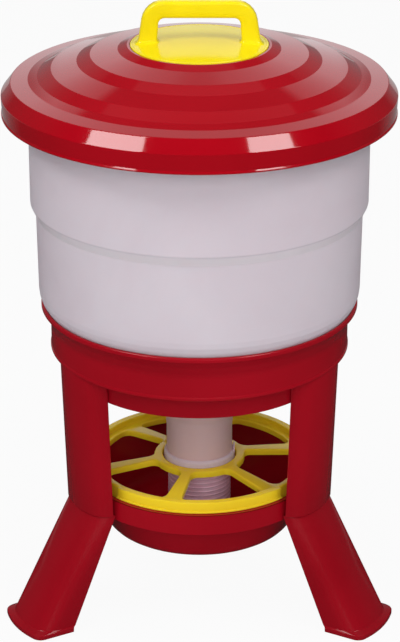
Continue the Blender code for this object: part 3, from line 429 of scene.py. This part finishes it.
def change(piece, kind, **settings):
    """Give a piece one modifier and apply it."""
    pick(piece)
    modifier = piece.modifiers.new(kind.lower(), kind)
    for name, value in settings.items():
        setattr(modifier, name, value)
    bpy.ops.object.modifier_apply(modifier=modifier.name)


def combine(piece, tool, operation):
    """Join a tool to a piece, or cut it out, and remove the tool."""
    change(piece, "BOOLEAN", operation=operation, solver="EXACT", object=tool)
    bpy.data.objects.remove(tool, do_unlink=True)


def soften(piece, width, segments=2, angle=40):
    """Round every edge that is sharper than an angle."""
    change(piece, "BEVEL", width=width, segments=segments, angle_limit=math.radians(angle))


def finish_piece(piece, material, body, node, angle=32):
    pick(piece)
    bpy.ops.object.shade_smooth_by_angle(angle=math.radians(angle))
    piece.data.materials.clear()
    piece.data.materials.append(material)
    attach(piece, body)
    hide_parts(node)


lid_outside = rounded(lid_low.z, [
    (205.1, 0.0, 0.6),
    (208.8, 0.0, 0.9),
    (208.8, 1.6, 0.6),
    (207.7, 3.1, 0.4),
    (208.8, 20.8, 1.4),
    (198.4, 34.1, 1.2),
    (180.5, 36.9, 8.0),
    (169.6, 40.1, 1.0),
    (155.9, 47.9, 1.0),
    (128.5, 55.5, 1.0),
    (114.5, 62.1, 1.0),
    (85.6, 67.4, 1.0),
    (75.6, 71.5, 0.6),
    (73.1, 71.5, 0.4),
    (73.1, 69.8, 0.3),
    (0.0, 69.8, 0.0),
], closed=False)
lid_inside = rounded(lid_low.z, [
    (0.0, 67.3, 0.0),
    (76.1, 67.3, 1.0),
    (85.1, 65.5, 1.4),
    (113.8, 59.2, 1.4),
    (127.8, 53.7, 1.4),
    (155.0, 44.9, 1.4),
    (168.7, 37.7, 1.4),
    (197.0, 31.9, 1.0),
    (205.1, 21.6, 1.0),
    (205.1, 0.6, 0.0),
], closed=False)
lid = turned_piece("ringed_lid", lid_outside + lid_inside, closed=False, steps=160)
lid_red, lid_shader = plastic(
    "glossy_red_plastic",
    (0.37, 0.0022, 0.0085, 1), (0.34, 0.0018, 0.0072, 1), (0.50, 0.03, 0.04, 1),
    roughness=0.070, mottle=0.02, wave=0.00005, grain=0.0000010, wear_and_highlight=0.25, hairlines=0.02,
)[:2]
lid_shader.inputs["Coat Weight"].default_value = 0.5
lid_shader.inputs["Coat Roughness"].default_value = 0.03


def rod(name, radius, start, end, way, steps=24):
    """A round bar between two distances from a point along a direction."""
    bpy.ops.object.select_all(action="DESELECT")
    origin, direction = way
    middle = origin + direction * ((start + end) / 2)
    bpy.ops.mesh.primitive_cylinder_add(
        vertices=steps,
        radius=radius,
        depth=end - start,
        location=middle,
        rotation=direction.to_track_quat("Z", "Y").to_euler(),
    )
    bpy.context.object.name = name
    return bpy.context.object


up = Vector((0, 0, 1))
screw_low, screw_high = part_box("handle_screw_right")
handle_screw_x = (screw_low.x + screw_high.x) / 2
screw_hole_radius = 0.0023
for side in (-1, 1):
    foot = Vector((side * handle_screw_x, axis_y, lid_low.z))
    combine(lid, rod("lid_hole", screw_hole_radius, 0.06, 0.075, (foot, up)), "DIFFERENCE")
finish_piece(lid, lid_red, "lid", "lid")


# Handle: a flat-fronted yellow loop with rounded edges, moulded in one with a round
# disc that rises a little towards its middle. Its feet flare into the disc, and two
# screws reach up into them.
def lofted_piece(name, sections):
    """Bridge closed sections, in order, and cap both ends."""
    piece = start_piece(name)
    for section in sections:
        draw_line(section, closed=True)
    weld()
    bpy.ops.mesh.select_all(action="SELECT")
    bpy.ops.mesh.bridge_edge_loops()
    bpy.ops.mesh.select_all(action="SELECT")
    bpy.ops.mesh.fill_holes(sides=0)
    weld()
    pick(piece)
    return piece


disc_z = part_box("lid_handle")[0].z
disc_edge = 2.3
dome_rise = 3.4
dome_radius = 69.6


def dome_above_edge(across):
    """How far the disc's shallow dome stands above the disc's edge, in millimetres."""
    return dome_rise * max(0, 1 - (across / dome_radius) ** 2)


disc_dome = []
for across in (0, 12, 24, 34, 42, 49, 55, 60, 65):
    disc_dome.append((across, disc_edge + dome_above_edge(across), 0))
handle_disc = turned_piece("yellow_handle", rounded(disc_z, [
    *disc_dome,
    (dome_radius, disc_edge, 0.4),
    (70.2, 2.0, 0.3),
    (70.8, disc_edge, 0.3),
    (72.5, disc_edge, 0.8),
    (72.5, 0.0, 0.3),
    (0.0, 0.0, 0.0),
], closed=False))
foot_outer = 64.6
foot_inner = 44.5
handle_line = rounded(disc_z, [
    (-foot_outer, 1.3, 0), (-61.5, 22.3, 60), (-57.6, 48.4, 24),
    (57.6, 48.4, 24), (61.5, 22.3, 60), (foot_outer, 1.3, 0),
    (foot_inner, 1.3, 0), (43.0, 20.3, 55), (42.5, 30.4, 7),
    (-42.5, 30.4, 7), (-43.0, 20.3, 55), (-foot_inner, 1.3, 0),
])
bar_depth = 0.014
bar_edge = 3.5
loop = start_piece("handle_loop")
draw_line([(x, axis_y - bar_depth / 2, z) for x, z in handle_line], closed=True)
weld()
bpy.ops.mesh.edge_face_add()
bpy.ops.mesh.extrude_region_move(TRANSFORM_OT_translate={"value": (0, bar_depth, 0)})
weld()
pick(loop)
soften(loop, bar_edge / 1000, segments=4, angle=60)


def foot_flare(side):
    """Sections of the fillet by which one foot of the loop spreads into the disc.

    In 21 mm of height the foot's outer side leans in by 3.1 mm and its inner side by 1.5 mm.
    """
    radius = 5.0
    lowest = 2.1
    sunk = 0.15
    sections = []
    for step in range(7):
        angle = math.radians(90 - 15 * step)
        height = radius * (1 - math.sin(angle))
        spare = radius * (1 - math.cos(angle)) - sunk
        outer = side * (foot_outer - 3.1 * height / 21 + spare)
        inner = side * (foot_inner - 1.5 * height / 21 - spare)
        deep = bar_depth * 500 + spare
        corner = bar_edge + spare
        plan = rounded(0, [
            (outer, deep, corner), (inner, deep, corner), (inner, -deep, corner), (outer, -deep, corner),
        ])
        sections.append([
            (x, axis_y + y, disc_z + (lowest + height + dome_above_edge(x * 1000)) / 1000) for x, y in plan
        ])
    return sections


combine(handle_disc, loop, "UNION")
for side in (-1, 1):
    combine(handle_disc, lofted_piece("foot_flare", foot_flare(side)), "UNION")
for side in (-1, 1):
    foot = Vector((side * handle_screw_x, axis_y, disc_z))
    combine(handle_disc, rod("handle_hole", screw_hole_radius, -0.002, 0.016, (foot, up)), "DIFFERENCE")


def yellow_plastic(name, pigment, thick):
    """Glossy yellow plastic that lets a little light into its edges."""
    made, shader = plastic(
        name, pigment, thick, (0.93, 0.82, 0.10, 1),
        roughness=0.15, mottle=0.04, wave=0.00006, grain=0.000002, wear_and_highlight=0.3, hairlines=0.05,
    )[:2]
    shader.inputs["Specular IOR Level"].default_value = 0.35
    shader.inputs["Subsurface Weight"].default_value = 0.12
    shader.inputs["Subsurface Radius"].default_value = (0.006, 0.004, 0.001)
    shader.inputs["Subsurface Scale"].default_value = 1.0
    return made


yellow = yellow_plastic("yellow_handle_plastic", (0.86, 0.70, 0.006, 1), (0.80, 0.635, 0.005, 1))
finish_piece(handle_disc, yellow, "lid", "lid_handle")


# Screws and washers: zinc-plated pan-head screws with a cross recess. Two hold the
# handle from under the lid; three hold pan, leg and post together from inside the pan.
zinc, zinc_tree, zinc_shader = new_material("zinc_plate")
zinc_skin = place_group(zinc_tree, moulded_skin, {
    "Pigment": (0.66, 0.66, 0.64, 1),
    "Thick Pigment": (0.56, 0.57, 0.58, 1),
    "Roughness": 0.34,
    "Mottle": 0.22,
    "Wave Depth": 0.00002,
    "Grain Depth": 0.00001,
})
zinc_bump = zinc_tree.nodes.new("ShaderNodeBump")
zinc_bump.inputs["Distance"].default_value = 1.0
zinc_tree.links.new(zinc_skin.outputs["Colour"], zinc_shader.inputs["Base Color"])
zinc_tree.links.new(zinc_skin.outputs["Roughness"], zinc_shader.inputs["Roughness"])
zinc_tree.links.new(zinc_skin.outputs["Height"], zinc_bump.inputs["Height"])
zinc_tree.links.new(zinc_bump.outputs["Normal"], zinc_shader.inputs["Normal"])
zinc_shader.inputs["Metallic"].default_value = 1.0


def screw(name, head_radius, head_height, length):
    """A screw that stands on the axis with its head's flat side at the origin's level."""
    core = 1.55
    crest = 2.0
    pitch = 1.6
    thread = []
    for index in range(int((length - 3.5) / pitch)):
        foot = 1.0 + pitch * index
        thread += [(core, foot, 0), (crest, foot + pitch * 0.45, 0.05), (crest, foot + pitch * 0.55, 0.05)]
    piece = turned_piece(name, rounded(0, [
        (0.0, -head_height, 0),
        (head_radius * 0.72, -head_height, 0.5),
        (head_radius, -head_height * 0.42, 0.7),
        (head_radius, 0.0, 0.2),
        (core, 0.0, 0.1),
        *thread,
        (core, length - 2.0, 0),
        (0.0, length, 0),
    ], closed=False), closed=False, steps=32)
    recess = Matrix.Diagonal((0.0042, 0.0009, 0.0026, 1))
    for turn in (0, 90):
        bpy.ops.object.select_all(action="DESELECT")
        bpy.ops.mesh.primitive_cube_add(size=1, location=(0, axis_y, -head_height / 1000))
        slot = bpy.context.object
        slot.data.transform(Matrix.Rotation(math.radians(turn), 4, "Z") @ recess)
        combine(piece, slot, "DIFFERENCE")
    return piece


def moved_copy(source, name, matrix):
    """A copy with its own mesh, whose points are moved while the object stays at the origin."""
    piece = bpy.data.objects.new(name, source.data.copy())
    piece.data.name = name
    bpy.context.scene.collection.objects.link(piece)
    piece.data.transform(matrix)
    return piece


head_height = 2.6
screw_length = (screw_high.z - screw_low.z) * 1000
handle_screw = screw("handle_screw_shape", 4.0, head_height, screw_length - head_height)
washer_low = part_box("handle_washer_right")[0]
washer = turned_piece("handle_washer_shape", rounded(washer_low.z, [
    (7.0, 0.0, 0.15), (7.0, 1.0, 0.3), (2.3, 1.0, 0.15), (2.3, 0.0, 0.15),
]), steps=48)
head_top = up * (screw_low.z + head_height / 1000)
for side, sign in (("left", -1), ("right", 1)):
    screw_place = Vector((sign * handle_screw_x, 0, 0))
    placed = moved_copy(handle_screw, "handle_screw_" + side, Matrix.Translation(screw_place + head_top))
    finish_piece(placed, zinc, "lid", "handle_screw_" + side)
    placed = moved_copy(washer, "handle_washer_" + side, Matrix.Translation(screw_place))
    finish_piece(placed, zinc, "lid", "handle_washer_" + side)
bpy.data.objects.remove(handle_screw, do_unlink=True)
bpy.data.objects.remove(washer, do_unlink=True)


# Hopper: milky translucent tub, blow-moulded in one wall: a flange under the lid, two
# diameters with a sloping step, a rounded shoulder, a funnel and a slightly waisted
# neck with a groove for the collar.
hopper_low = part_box("hopper")[0]
step_foot = 298.5
step_head = 310.5
hopper = turned_piece("milky_hopper", rounded(hopper_low.z, [
    (196.1, 439.5, 1.0),
    (196.1, 436.5, 0.8),
    (180.8, 436.5, 1.5),
    (180.8, step_head, 3.0),
    (175.0, step_foot, 3.0),
    (173.6, 199.2, 31.0),
    (36.4, 74.2, 70.0),
    (36.4, 13.8, 1.0),
    (37.8, 11.4, 1.0),
    (37.8, 5.7, 0.2),
    (36.9, 5.5, 0.2),
    (36.9, 4.1, 0.2),
    (37.8, 3.9, 0.2),
    (37.8, 0.0, 0.6),
    (35.4, 0.0, 0.6),
    (35.4, 76.2, 71.0),
    (170.6, 200.6, 28.0),
    (172.0, step_foot, 3.0),
    (177.8, step_head, 3.0),
    (177.8, 439.5, 1.2),
]), steps=160)


def milky_plastic(name, low_painted_red_glow, low_thick_painted_red_glow, roughness):
    """Translucent white, pinker below: painted red light for the red pan that shows through a thin wall.

    The tub's sloping step is paler: painted light for light from inside that passes through it.
    """
    wall_pigment = (0.73, 0.625, 0.68, 1)
    wall_thick = (0.69, 0.575, 0.63, 1)
    step_painted_light = (0.89, 0.75, 0.80, 1)
    made, shader, skin = plastic(
        name, wall_pigment, wall_thick, (0.76, 0.71, 0.74, 1),
        roughness=roughness, mottle=0.10, wave=0.00022, grain=0.000008, wear_and_highlight=0.2, hairlines=0.06,
    )
    tree = made.node_tree
    height = tree.nodes.new("ShaderNodeSeparateXYZ")
    tree.links.new(tree.nodes.new("ShaderNodeTexCoord").outputs["Object"], height.inputs[0])
    # Lower down the colour turns to the low colours: painted red light from the pan.
    share = spread(tree, height.outputs["Z"], 0.20, 0.31, 1.0, 0.0)
    # The sloping step gets a paler colour: painted light.
    foot_z = hopper_low.z + step_foot / 1000
    head_z = hopper_low.z + step_head / 1000
    above_foot = spread(tree, height.outputs["Z"], foot_z - 0.0010, foot_z + 0.0010, 0.0, 1.0)
    below_head = spread(tree, height.outputs["Z"], head_z - 0.0025, head_z - 0.0010, 1.0, 0.0)
    step_painted_light_share = combined(tree, "MULTIPLY", above_foot, below_head)
    for socket, wall, low in (
        ("Pigment", wall_pigment, low_painted_red_glow),
        ("Thick Pigment", wall_thick, low_thick_painted_red_glow),
    ):
        colours = []
        for value in (wall, low, step_painted_light):
            colour = tree.nodes.new("ShaderNodeRGB")
            colour.outputs[0].default_value = value
            colours.append(colour.outputs[0])
        with_painted_red_glow = blend_colours(tree, share, *colours[:2])
        tree.links.new(blend_colours(tree, step_painted_light_share, with_painted_red_glow, colours[2]), skin.inputs[socket])
    shader.inputs["Subsurface Weight"].default_value = 0.5
    shader.inputs["Subsurface Radius"].default_value = (0.012, 0.009, 0.009)
    shader.inputs["Subsurface Scale"].default_value = 1.0
    return made


milky = milky_plastic("milky_translucent_plastic", (0.95, 0.56, 0.57, 1), (0.90, 0.51, 0.52, 1), 0.42)
finish_piece(hopper, milky, "hopper", "hopper")


# Stand: one red moulding. A flared lip carries the hopper's shoulder, a band with a
# bead along its lower edge and a skirt inside it stiffen the ring, and three
# channel-shaped posts run down to the legs.
def channel(inner, reach, half_width, crown, corner, wall=3.0):
    """Plan in millimetres of a crowned channel that is open towards the feeder's axis."""
    def shell(front, width, crown_radius, corner_radius):
        crown_centre = front - crown_radius
        corner_v = width - corner_radius
        corner_u = crown_centre + math.sqrt((crown_radius - corner_radius) ** 2 - corner_v**2)
        meet = math.atan2(corner_v, corner_u - crown_centre)
        start = math.acos(max(0.0, (inner - corner_u) / corner_radius))
        side = [(inner, width)] if inner < corner_u else []
        for step in range(9):
            angle = start + (meet - start) * step / 8
            u = corner_u + corner_radius * math.cos(angle)
            side.append((u, corner_v + corner_radius * math.sin(angle)))
        for step in range(1, 7):
            angle = meet * (1 - step / 6)
            side.append((crown_centre + crown_radius * math.cos(angle), crown_radius * math.sin(angle)))
        return side + [(u, -v) for u, v in reversed(side[:-1])]

    outside = shell(reach, half_width, crown, corner)
    hollow = shell(reach - wall, half_width - wall, crown - wall, corner - wall)
    return outside, list(reversed(hollow))


def in_front(plan, height):
    """Plan points, out and across in millimetres, as places in front of the axis."""
    return [(v / 1000, axis_y - u / 1000, height) for u, v in plan]


def turned_to(azimuth):
    """Rotation about the feeder's axis from the front to an azimuth, + to the right."""
    centre = Matrix.Translation((0, axis_y, 0))
    return centre @ Matrix.Rotation(math.radians(azimuth), 4, "Z") @ centre.inverted()


stand_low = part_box("stand_frame")[0]
stand = turned_piece("red_stand", rounded(stand_low.z, [
    (171.8, 217.0, 2.4),
    (171.8, 211.6, 1.6),
    (169.6, 210.6, 0.8),
    (165.6, 203.6, 14.0),
    (161.7, 193.0, 16.0),
    (161.7, 168.6, 0.5),
    (162.5, 167.4, 0.5),
    (162.5, 164.4, 1.2),
    (140.4, 164.4, 1.5),
    (140.4, 135.0, 0.8),
    (137.0, 135.0, 0.8),
    (137.0, 170.4, 1.0),
    (158.3, 170.4, 3.0),
    (158.3, 190.5, 2.0),
    (152.5, 196.3, 1.0),
    (152.5, 201.2, 0.6),
    (163.5, 211.2, 4.0),
    (168.3, 215.9, 1.2),
    (168.6, 217.0, 0.6),
]), steps=160)
post_azimuths = {"front_left": -60, "front_right": 60, "rear": 180}
post_height = 0.1694
post_outside, post_hollow = channel(inner=131.7, reach=155.5, half_width=42.5, crown=83, corner=22)
top_outside, top_hollow = channel(inner=136.6, reach=161.6, half_width=41.5, crown=83, corner=22)
post = lofted_piece("post_shape", [
    in_front(post_outside + post_hollow, stand_low.z),
    in_front(top_outside + top_hollow, stand_low.z + post_height),
])
soften(post, 0.0008)
ahead = Vector((0, -1, 0))
screw_rear_low, screw_rear_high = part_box("leg_screw_rear")
leg_screw_z = (screw_rear_low.z + screw_rear_high.z) / 2
screw_origin = Vector((0, axis_y, leg_screw_z))
boss_radius = 0.005
combine(post, rod("boss", boss_radius, 0.1366, 0.1535, (screw_origin, ahead)), "UNION")
combine(post, rod("hole", screw_hole_radius, 0.13, 0.1486, (screw_origin, ahead)), "DIFFERENCE")
for side, azimuth in post_azimuths.items():
    combine(stand, moved_copy(post, "post_" + side, turned_to(azimuth)), "UNION")
bpy.data.objects.remove(post, do_unlink=True)


def satin_red_plastic(name, pigment, thick):
    """Red plastic with less shine than the lid's."""
    made, shader = plastic(
        name, pigment, thick, (0.46, 0.04, 0.05, 1),
        roughness=0.15, mottle=0.04, wave=0.00008, grain=0.000003, wear_and_highlight=0.2, hairlines=0.05,
    )[:2]
    shader.inputs["Specular IOR Level"].default_value = 0.35
    return made


stand_red = satin_red_plastic("satin_red_plastic", (0.36, 0.0034, 0.0115, 1), (0.325, 0.0028, 0.0098, 1))
finish_piece(stand, stand_red, "stand", "stand_frame")


# Legs: three red channels that lean outwards from the posts to a lipped foot. Each has
# a top plate under the post and a tenon that plugs up into it behind the pan's rim.
joint_gap = 0.0003
leg_top_z = stand_low.z - joint_gap
foot_outside, foot_hollow = channel(inner=181.5, reach=229.0, half_width=38.5, crown=83, corner=20)
lip_outside = channel(inner=181.5, reach=232.3, half_width=40.5, crown=110, corner=11)[0]
head_outside, head_hollow = channel(inner=128.0, reach=154.0, half_width=41.0, crown=83, corner=22)


def between(low, high, share):
    return [(a[0] + (b[0] - a[0]) * share, a[1] + (b[1] - a[1]) * share) for a, b in zip(low, high)]


leg_sections = []
for height, lipped in ((0.0, True), (0.0055, True), (0.0070, False), (0.060, False), (leg_top_z, False)):
    share = height / leg_top_z
    outside = lip_outside if lipped else between(foot_outside, head_outside, share)
    leg_sections.append(in_front(outside + between(foot_hollow, head_hollow, share), height))
leg = lofted_piece("leg_shape", leg_sections)
soften(leg, 0.0009)
plate_inner = 133.3
plate_channel = channel(inner=plate_inner, reach=152.5, half_width=39.5, crown=83, corner=22)[0]
plate_plan = [(max(u, plate_inner), v) for u, v in plate_channel]
plate = lofted_piece("leg_plate", [
    in_front(plate_plan, leg_top_z - 0.005),
    in_front(plate_plan, leg_top_z),
])
combine(leg, plate, "UNION")
tenon_u = 129.9
tenon_v = 20.5
tenon_side = []
for radius, start, end in ((18.4, 79.5, 38.7), (15.4, 38.7, 65.6)):
    for step in range(7):
        angle = math.radians(start + (end - start) * step / 6)
        tenon_side.append((tenon_u + radius * math.cos(angle), tenon_v + radius * math.sin(angle)))
tenon_plan = tenon_side + [(u, -v) for u, v in reversed(tenon_side)]
tenon = lofted_piece("leg_tenon", [
    in_front(tenon_plan, leg_top_z - 0.001),
    in_front(tenon_plan, leg_top_z + 0.038),
])
soften(tenon, 0.0004)
combine(leg, tenon, "UNION")
combine(leg, rod("hole", screw_hole_radius, 0.1313, 0.1383, (screw_origin, ahead)), "DIFFERENCE")
# The legs' red is darker than the stand's, on the same plastic: painted shade.
leg_red_painted_shade = satin_red_plastic(
    "satin_red_leg_plastic_painted_shade", (0.305, 0.0032, 0.0100, 1), (0.275, 0.0026, 0.0086, 1)
)
for side, azimuth in post_azimuths.items():
    placed = moved_copy(leg, "red_leg_" + side, turned_to(azimuth))
    finish_piece(placed, leg_red_painted_shade, "stand", "leg_" + side)
bpy.data.objects.remove(leg, do_unlink=True)


# Feed pan: a red bowl with an overhanging rim that the posts hold, a cone in its
# middle that spreads the feed, and three bosses for the screws.
pan_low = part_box("feed_pan")[0]
pan = turned_piece("red_feed_pan", rounded(pan_low.z, [
    (133.0, 67.0, 1.2),
    (133.0, 44.0, 0.8),
    (130.5, 44.0, 0.8),
    (130.5, 64.0, 0.8),
    (128.0, 64.0, 1.0),
    (101.8, 0.0, 17.0),
    (26.6, 0.0, 2.0),
    (0.0, 23.0, 0.0),
], closed=False) + rounded(pan_low.z, [
    (0.0, 29.0, 0.0),
    (30.0, 3.0, 4.0),
    (98.5, 3.0, 14.0),
    (126.0, 67.0, 1.2),
    (131.8, 67.0, 0.0),
], closed=False), closed=False, steps=160)
for azimuth in post_azimuths.values():
    way = (screw_origin, turned_to(azimuth).to_3x3() @ ahead)
    combine(pan, rod("boss", boss_radius, 0.1193, 0.1318, way), "UNION")
    combine(pan, rod("hole", screw_hole_radius, 0.115, 0.136, way), "DIFFERENCE")
finish_piece(pan, stand_red, "stand", "feed_pan")

leg_head_height = 2.8
leg_screw_length = (screw_rear_high.y - screw_rear_low.y) * 1000
leg_screw = screw("leg_screw_shape", 4.2, leg_head_height, leg_screw_length - leg_head_height)
leg_head_out = 0.119
leg_screw.data.transform(
    Matrix.Translation((0, axis_y - leg_head_out, leg_screw_z))
    @ Matrix.Rotation(math.radians(90), 4, "X")
    @ Matrix.Translation((0, -axis_y, 0))
)
for side, azimuth in post_azimuths.items():
    placed = moved_copy(leg_screw, "leg_screw_" + side, turned_to(azimuth))
    finish_piece(placed, zinc, "stand", "leg_screw_" + side)
bpy.data.objects.remove(leg_screw, do_unlink=True)


# Feed grid: yellow ring with six spokes and a hub. It drops on the pan, and its rim
# stands up against the feed. Between the posts, three thicker sections of the rim with
# a bead below them rest on the pan's edge.
grid_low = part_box("feed_grid")[0]
hub_radius = 49.9
hub_top = 15.6
deck_edge_radius = 117.0
deck_edge_top = 9.0
rim_top = 15.8
grid = turned_piece("yellow_feed_grid", rounded(grid_low.z, [
    (123.0, rim_top, 1.5),
    (123.0, 0.0, 0.8),
    (deck_edge_radius, 0.0, 0.8),
    (deck_edge_radius, 3.0, 1.0),
    (hub_radius, hub_top - 7.0, 1.0),
    (40.9, hub_top - 7.0, 0.6),
    (40.9, hub_top, 1.0),
    (hub_radius, hub_top, 2.0),
    (deck_edge_radius, deck_edge_top, 2.0),
    (deck_edge_radius, rim_top, 1.5),
]), steps=160)


def window_plan(grown):
    """One opening between two spokes, in front of the axis, grown by some millimetres."""
    corner = 9 + grown
    near = hub_radius + 0.6 - grown
    far = 109.0 + grown
    spoke_half_near = 5.5 - grown
    spoke_half_far = 9.5 - grown
    near_half = math.radians(30) - math.asin(spoke_half_near / near)
    far_half = math.radians(30) - math.asin(spoke_half_far / far)
    corners = []
    for step in range(9):
        angle = -far_half + 2 * far_half * step / 8
        corners.append((far * math.cos(angle), far * math.sin(angle), corner if step in (0, 8) else 0))
    for step in range(5):
        angle = near_half - 2 * near_half * step / 4
        corners.append((near * math.cos(angle), near * math.sin(angle), corner if step in (0, 4) else 0))
    return [(u * 1000, v * 1000) for u, v in rounded(0, corners)]


def on_deck(plan, above):
    """Plan points as places some millimetres above the deck, which falls towards the rim."""
    fall = (hub_top - deck_edge_top) / (deck_edge_radius - hub_radius)
    places = []
    for u, v in plan:
        level = hub_top - fall * (math.hypot(u, v) - hub_radius) + above
        places.append((v / 1000, axis_y - u / 1000, grid_low.z + level / 1000))
    return places


window_sections = [in_front(window_plan(0.0), grid_low.z - 0.003)]
for above, grown in ((-1.6, 0.0), (-0.7, 0.35), (-0.1, 1.1), (0.3, 2.2)):
    window_sections.append(on_deck(window_plan(grown), above))
window_sections.append(in_front(window_plan(2.2), grid_low.z + 0.020))
window = lofted_piece("grid_window", window_sections)
first_spoke = -15.6
for index in range(6):
    combine(grid, moved_copy(window, "grid_window", turned_to(first_spoke + 60 * index + 30)), "DIFFERENCE")
bpy.data.objects.remove(window, do_unlink=True)
lip_inner = 121.5
lip_half_angle = math.radians(45)
for outer, top, edge in ((126.0, rim_top, 0.0011), (128.0, 5.8, 0.0006)):
    lip_plan = []
    for radius, direction in ((outer, 1), (lip_inner, -1)):
        for step in range(25):
            angle = lip_half_angle * direction * (step / 12 - 1)
            lip_plan.append((radius * math.cos(angle), radius * math.sin(angle)))
    lip = lofted_piece("grid_lip", [
        in_front(lip_plan, grid_low.z + 0.0038),
        in_front(lip_plan, grid_low.z + top / 1000),
    ])
    soften(lip, edge)
    for index in range(3):
        combine(grid, moved_copy(lip, "grid_lip", turned_to(120 * index)), "UNION")
    bpy.data.objects.remove(lip, do_unlink=True)
# The grid's yellow is warmer than the handle's, on the same plastic: painted red light bounced from the
# pan.
yellow_with_painted_red_bounce = yellow_plastic("yellow_grid_plastic", (0.88, 0.63, 0.020, 1), (0.82, 0.56, 0.018, 1))
finish_piece(grid, yellow_with_painted_red_bounce, "grid", "feed_grid")


# Regulator: a translucent collar that turns on the neck's bead, with a thumb tab, and
# the threaded metering tube that it raises and lowers over the pan's cone.
ring_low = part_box("regulator_ring")[0]
ring = turned_piece("regulator_collar", rounded(ring_low.z, [
    (36.9, 15.8, 0.2),
    (37.6, 15.8, 0.3),
    (39.3, 13.2, 2.5),
    (39.5, 3.2, 0.8),
    (40.3, 2.4, 0.5),
    (40.3, 0.0, 0.7),
    (36.0, 0.0, 0.5),
    (36.0, 2.2, 0.3),
    (38.2, 2.2, 0.2),
    (38.2, 6.9, 0.0),
    (37.3, 7.1, 0.1),
    (37.3, 7.7, 0.1),
    (38.2, 7.9, 0.0),
    (38.2, 12.9, 0.3),
    (36.9, 14.6, 0.2),
]), steps=96)
tab_reach = 0.0398
tab_depth = 0.0014
tab_width = 0.012
tab_height = 0.008
tab_out = math.sqrt(tab_reach**2 - (tab_width / 2) ** 2)
bpy.ops.object.select_all(action="DESELECT")
bpy.ops.mesh.primitive_cube_add(size=1, location=(tab_out - tab_depth / 2, axis_y, ring_low.z + 0.0149))
tab = bpy.context.object
tab.data.transform(Matrix.Diagonal((tab_depth, tab_width, tab_height, 1)))
soften(tab, 0.0005)
combine(ring, tab, "UNION")
# The collar lies wholly in the low zone: its pink is painted red light from the pan.
milky_collar = milky_plastic("milky_collar_plastic", (0.91, 0.65, 0.73, 1), (0.87, 0.60, 0.68, 1), 0.26)
finish_piece(ring, milky_collar, "collar", "regulator_ring")

tube_low, tube_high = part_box("metering_tube")
tube_height = (tube_high.z - tube_low.z) * 1000
tube_bore = 31.5
thread_root = 34.4
thread_crest = 35.1
thread_pitch = 5
threads = []
for index in range(9, -1, -1):
    for radius, above in ((thread_root, 3.6), (thread_crest, 2.8), (thread_crest, 2.2), (thread_root, 1.4)):
        threads.append((radius, thread_pitch * index + above, 0.2))
tube = turned_piece("metering_tube_threaded", rounded(tube_low.z, [
    (tube_bore, tube_height, 0.5),
    (thread_crest, tube_height, 0.5),
    *threads,
    (thread_root, 0.0, 0.5),
    (tube_bore, 0.0, 0.5),
]), steps=96)
# The tube lies wholly in the low zone: its pink is painted red light from the pan.
milky_tube = milky_plastic("milky_tube_plastic", (0.98, 0.54, 0.66, 1), (0.94, 0.49, 0.61, 1), 0.26)
finish_piece(tube, milky_tube, "tube", "metering_tube")
